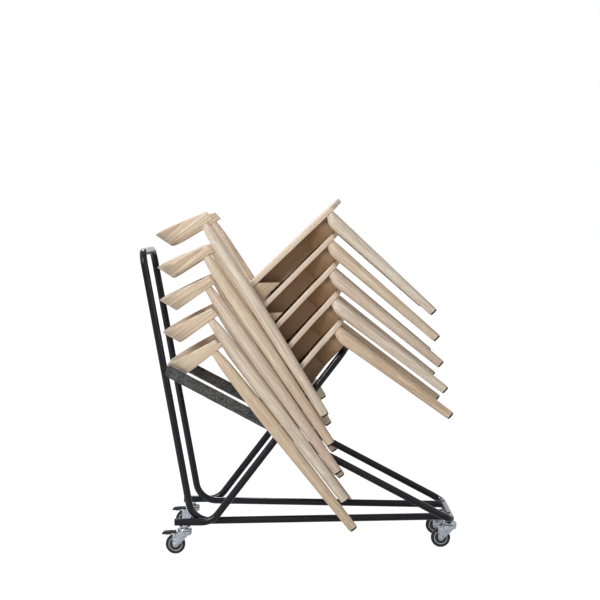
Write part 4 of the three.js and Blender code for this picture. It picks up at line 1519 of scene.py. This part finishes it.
def wheel_part(half, sides=CASTOR_SIDES):
    """A turned ring from the upper half of its profile, listed from the inside out."""
    lower = [(radius, -height) for radius, height in reversed(half)]
    return turned(half + lower + [half[0]], sides)


print("wheel profiles ready")

# %% [markdown]
# ## Brake pedals
#
# The castors at the handle end have a brake: a dark moulded tread over the wheel, which a foot
# presses down, on a zinc ear on each side of the fork. The tread is ribbed so that a shoe does not
# slip, and its tip droops a little.

# %% Brake pedal
TREAD_WIDTH = 34
TREAD = [(-26, 64.4), (-26, 69), (-41, 69), (-60, 67.6), (-65, 66.2), (-69.5, 61.4), (-67.6, 60.4),
         (-62, 62.6), (-50, 63.4), (-41, 64)]
EAR = [(-26, 66.5), (-36, 66.5), (-36, 50), (-26, 50)]
EAR_THICKNESS = 2.2
EAR_MIDDLE = 15.75
LINK = [(-40, 58.6), (-57, 57), (-59.5, 60.2), (-56, 61.6), (-40, 62.4)]
LINK_WIDTH = 22
RIB = [(-0.9, 68.3), (0.9, 68.3), (0.6, 69.8), (-0.6, 69.8)]
RIB_WIDTH = 28
RIB_COUNT = 6
RIB_START = -40
RIB_PITCH = 3.8
TREAD_BEND = -41
TREAD_DROP = 0.0738


def pedal_tread():
    """The moulded tread with its ribs across."""
    shape = plate(TREAD, TREAD_WIDTH, round_by=0.9, edge=0.8)
    for number in range(RIB_COUNT):
        reach = RIB_START - RIB_PITCH * number
        drop = TREAD_DROP * (TREAD_BEND - reach)
        rib = [(reach + x, z - drop) for x, z in RIB]
        add_shape(shape, plate(rib, RIB_WIDTH, round_by=0, edge=0.3))
    return shape


def pedal_ears():
    """The zinc ears that hang from the tread down to the pin, and the link plate under the tread."""
    shape = bmesh.new()
    for side in (-1, 1):
        ear = plate(EAR, EAR_THICKNESS, round_by=3.2, edge=0.3)
        add_shape(shape, ear, Matrix.Translation((0, side * EAR_MIDDLE, 0)))
    return add_shape(shape, plate(LINK, LINK_WIDTH, round_by=0.8, edge=0.4))


print("pedal outlines ready")

# %% Place the castors
# each pair of castors has its place in X and Y on the trolley, and a brake or not
STEM_FROM_STUB_END = 28
CASTORS = {
    "handle": (STUB_END + STEM_FROM_STUB_END, BRACE_HALF, True),
    "nose": (BASE_LENGTH, NOSE_HALF, False),
}
AT_STEM = Matrix.Identity(4)
AT_AXLE = outward_from(AXLE, -1, 0)


def castor_pieces(braked):
    """Each piece of a castor: word, shape, place, look, body, slot, and the node it stands for, if any."""
    head = turned(eased(HEAD, HEAD_EASE), CASTOR_SIDES)
    pieces = [
        ("head", head, AT_STEM, "bright_zinc", "trolley", "zinc", "stem"),
        ("cheeks", castor_fork(), AT_STEM, "bright_zinc", "swivel", "zinc", "fork"),
        ("bolts", castor_bolts(braked), AT_STEM, "worn_steel", "swivel", "zinc"),
        ("hub", wheel_part(CORE_HALF), AT_AXLE, "grey_plastic", "wheel", "wheel_core", "core"),
        ("ring", wheel_part(RING_HALF), AT_AXLE, "pale_ring", "wheel", "wheel_core"),
        ("tread", wheel_part(TYRE_HALF, TYRE_SIDES), AT_AXLE, "solid_rubber", "wheel", "tyre", "tyre"),
    ]
    if braked:
        pieces += [
            ("foot_plate", pedal_tread(), AT_STEM, "dark_plastic", "brake", "dark_plastic", "pedal"),
            ("ears", pedal_ears(), AT_STEM, "bright_zinc", "brake", "zinc"),
        ]
    return pieces


for end, (reach, half, braked) in CASTORS.items():
    for side_name, side in SIDES.items():
        name = f"castor_{end}_{side_name}"
        stem_place = Matrix.Translation((trolley_shift + reach, side * half, 0))
        for word, shape, own_place, look, part, slot, *nodes in castor_pieces(braked):
            body = part if part == "trolley" else f"{name}_{part}"
            mesh = mesh_of(move(shape, stem_place @ own_place))
            finish_piece(f"{name}_{word}", mesh, look, body, slot, *(f"{name}_{node}" for node in nodes))
print("castors:", len(CASTORS) * len(SIDES))

# %% [markdown]
# ## The sizes at the end
#
# Both boxes are printed so that the looks' size can be compared with the CAD's.

# %% Finish
look_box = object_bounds()
sizes = {"cad": [list(corner) for corner in cad_box], "looks": [list(corner) for corner in look_box]}
for label, corners_of in sizes.items():
    print(label, [[round(value, 4) for value in corner] for corner in corners_of])
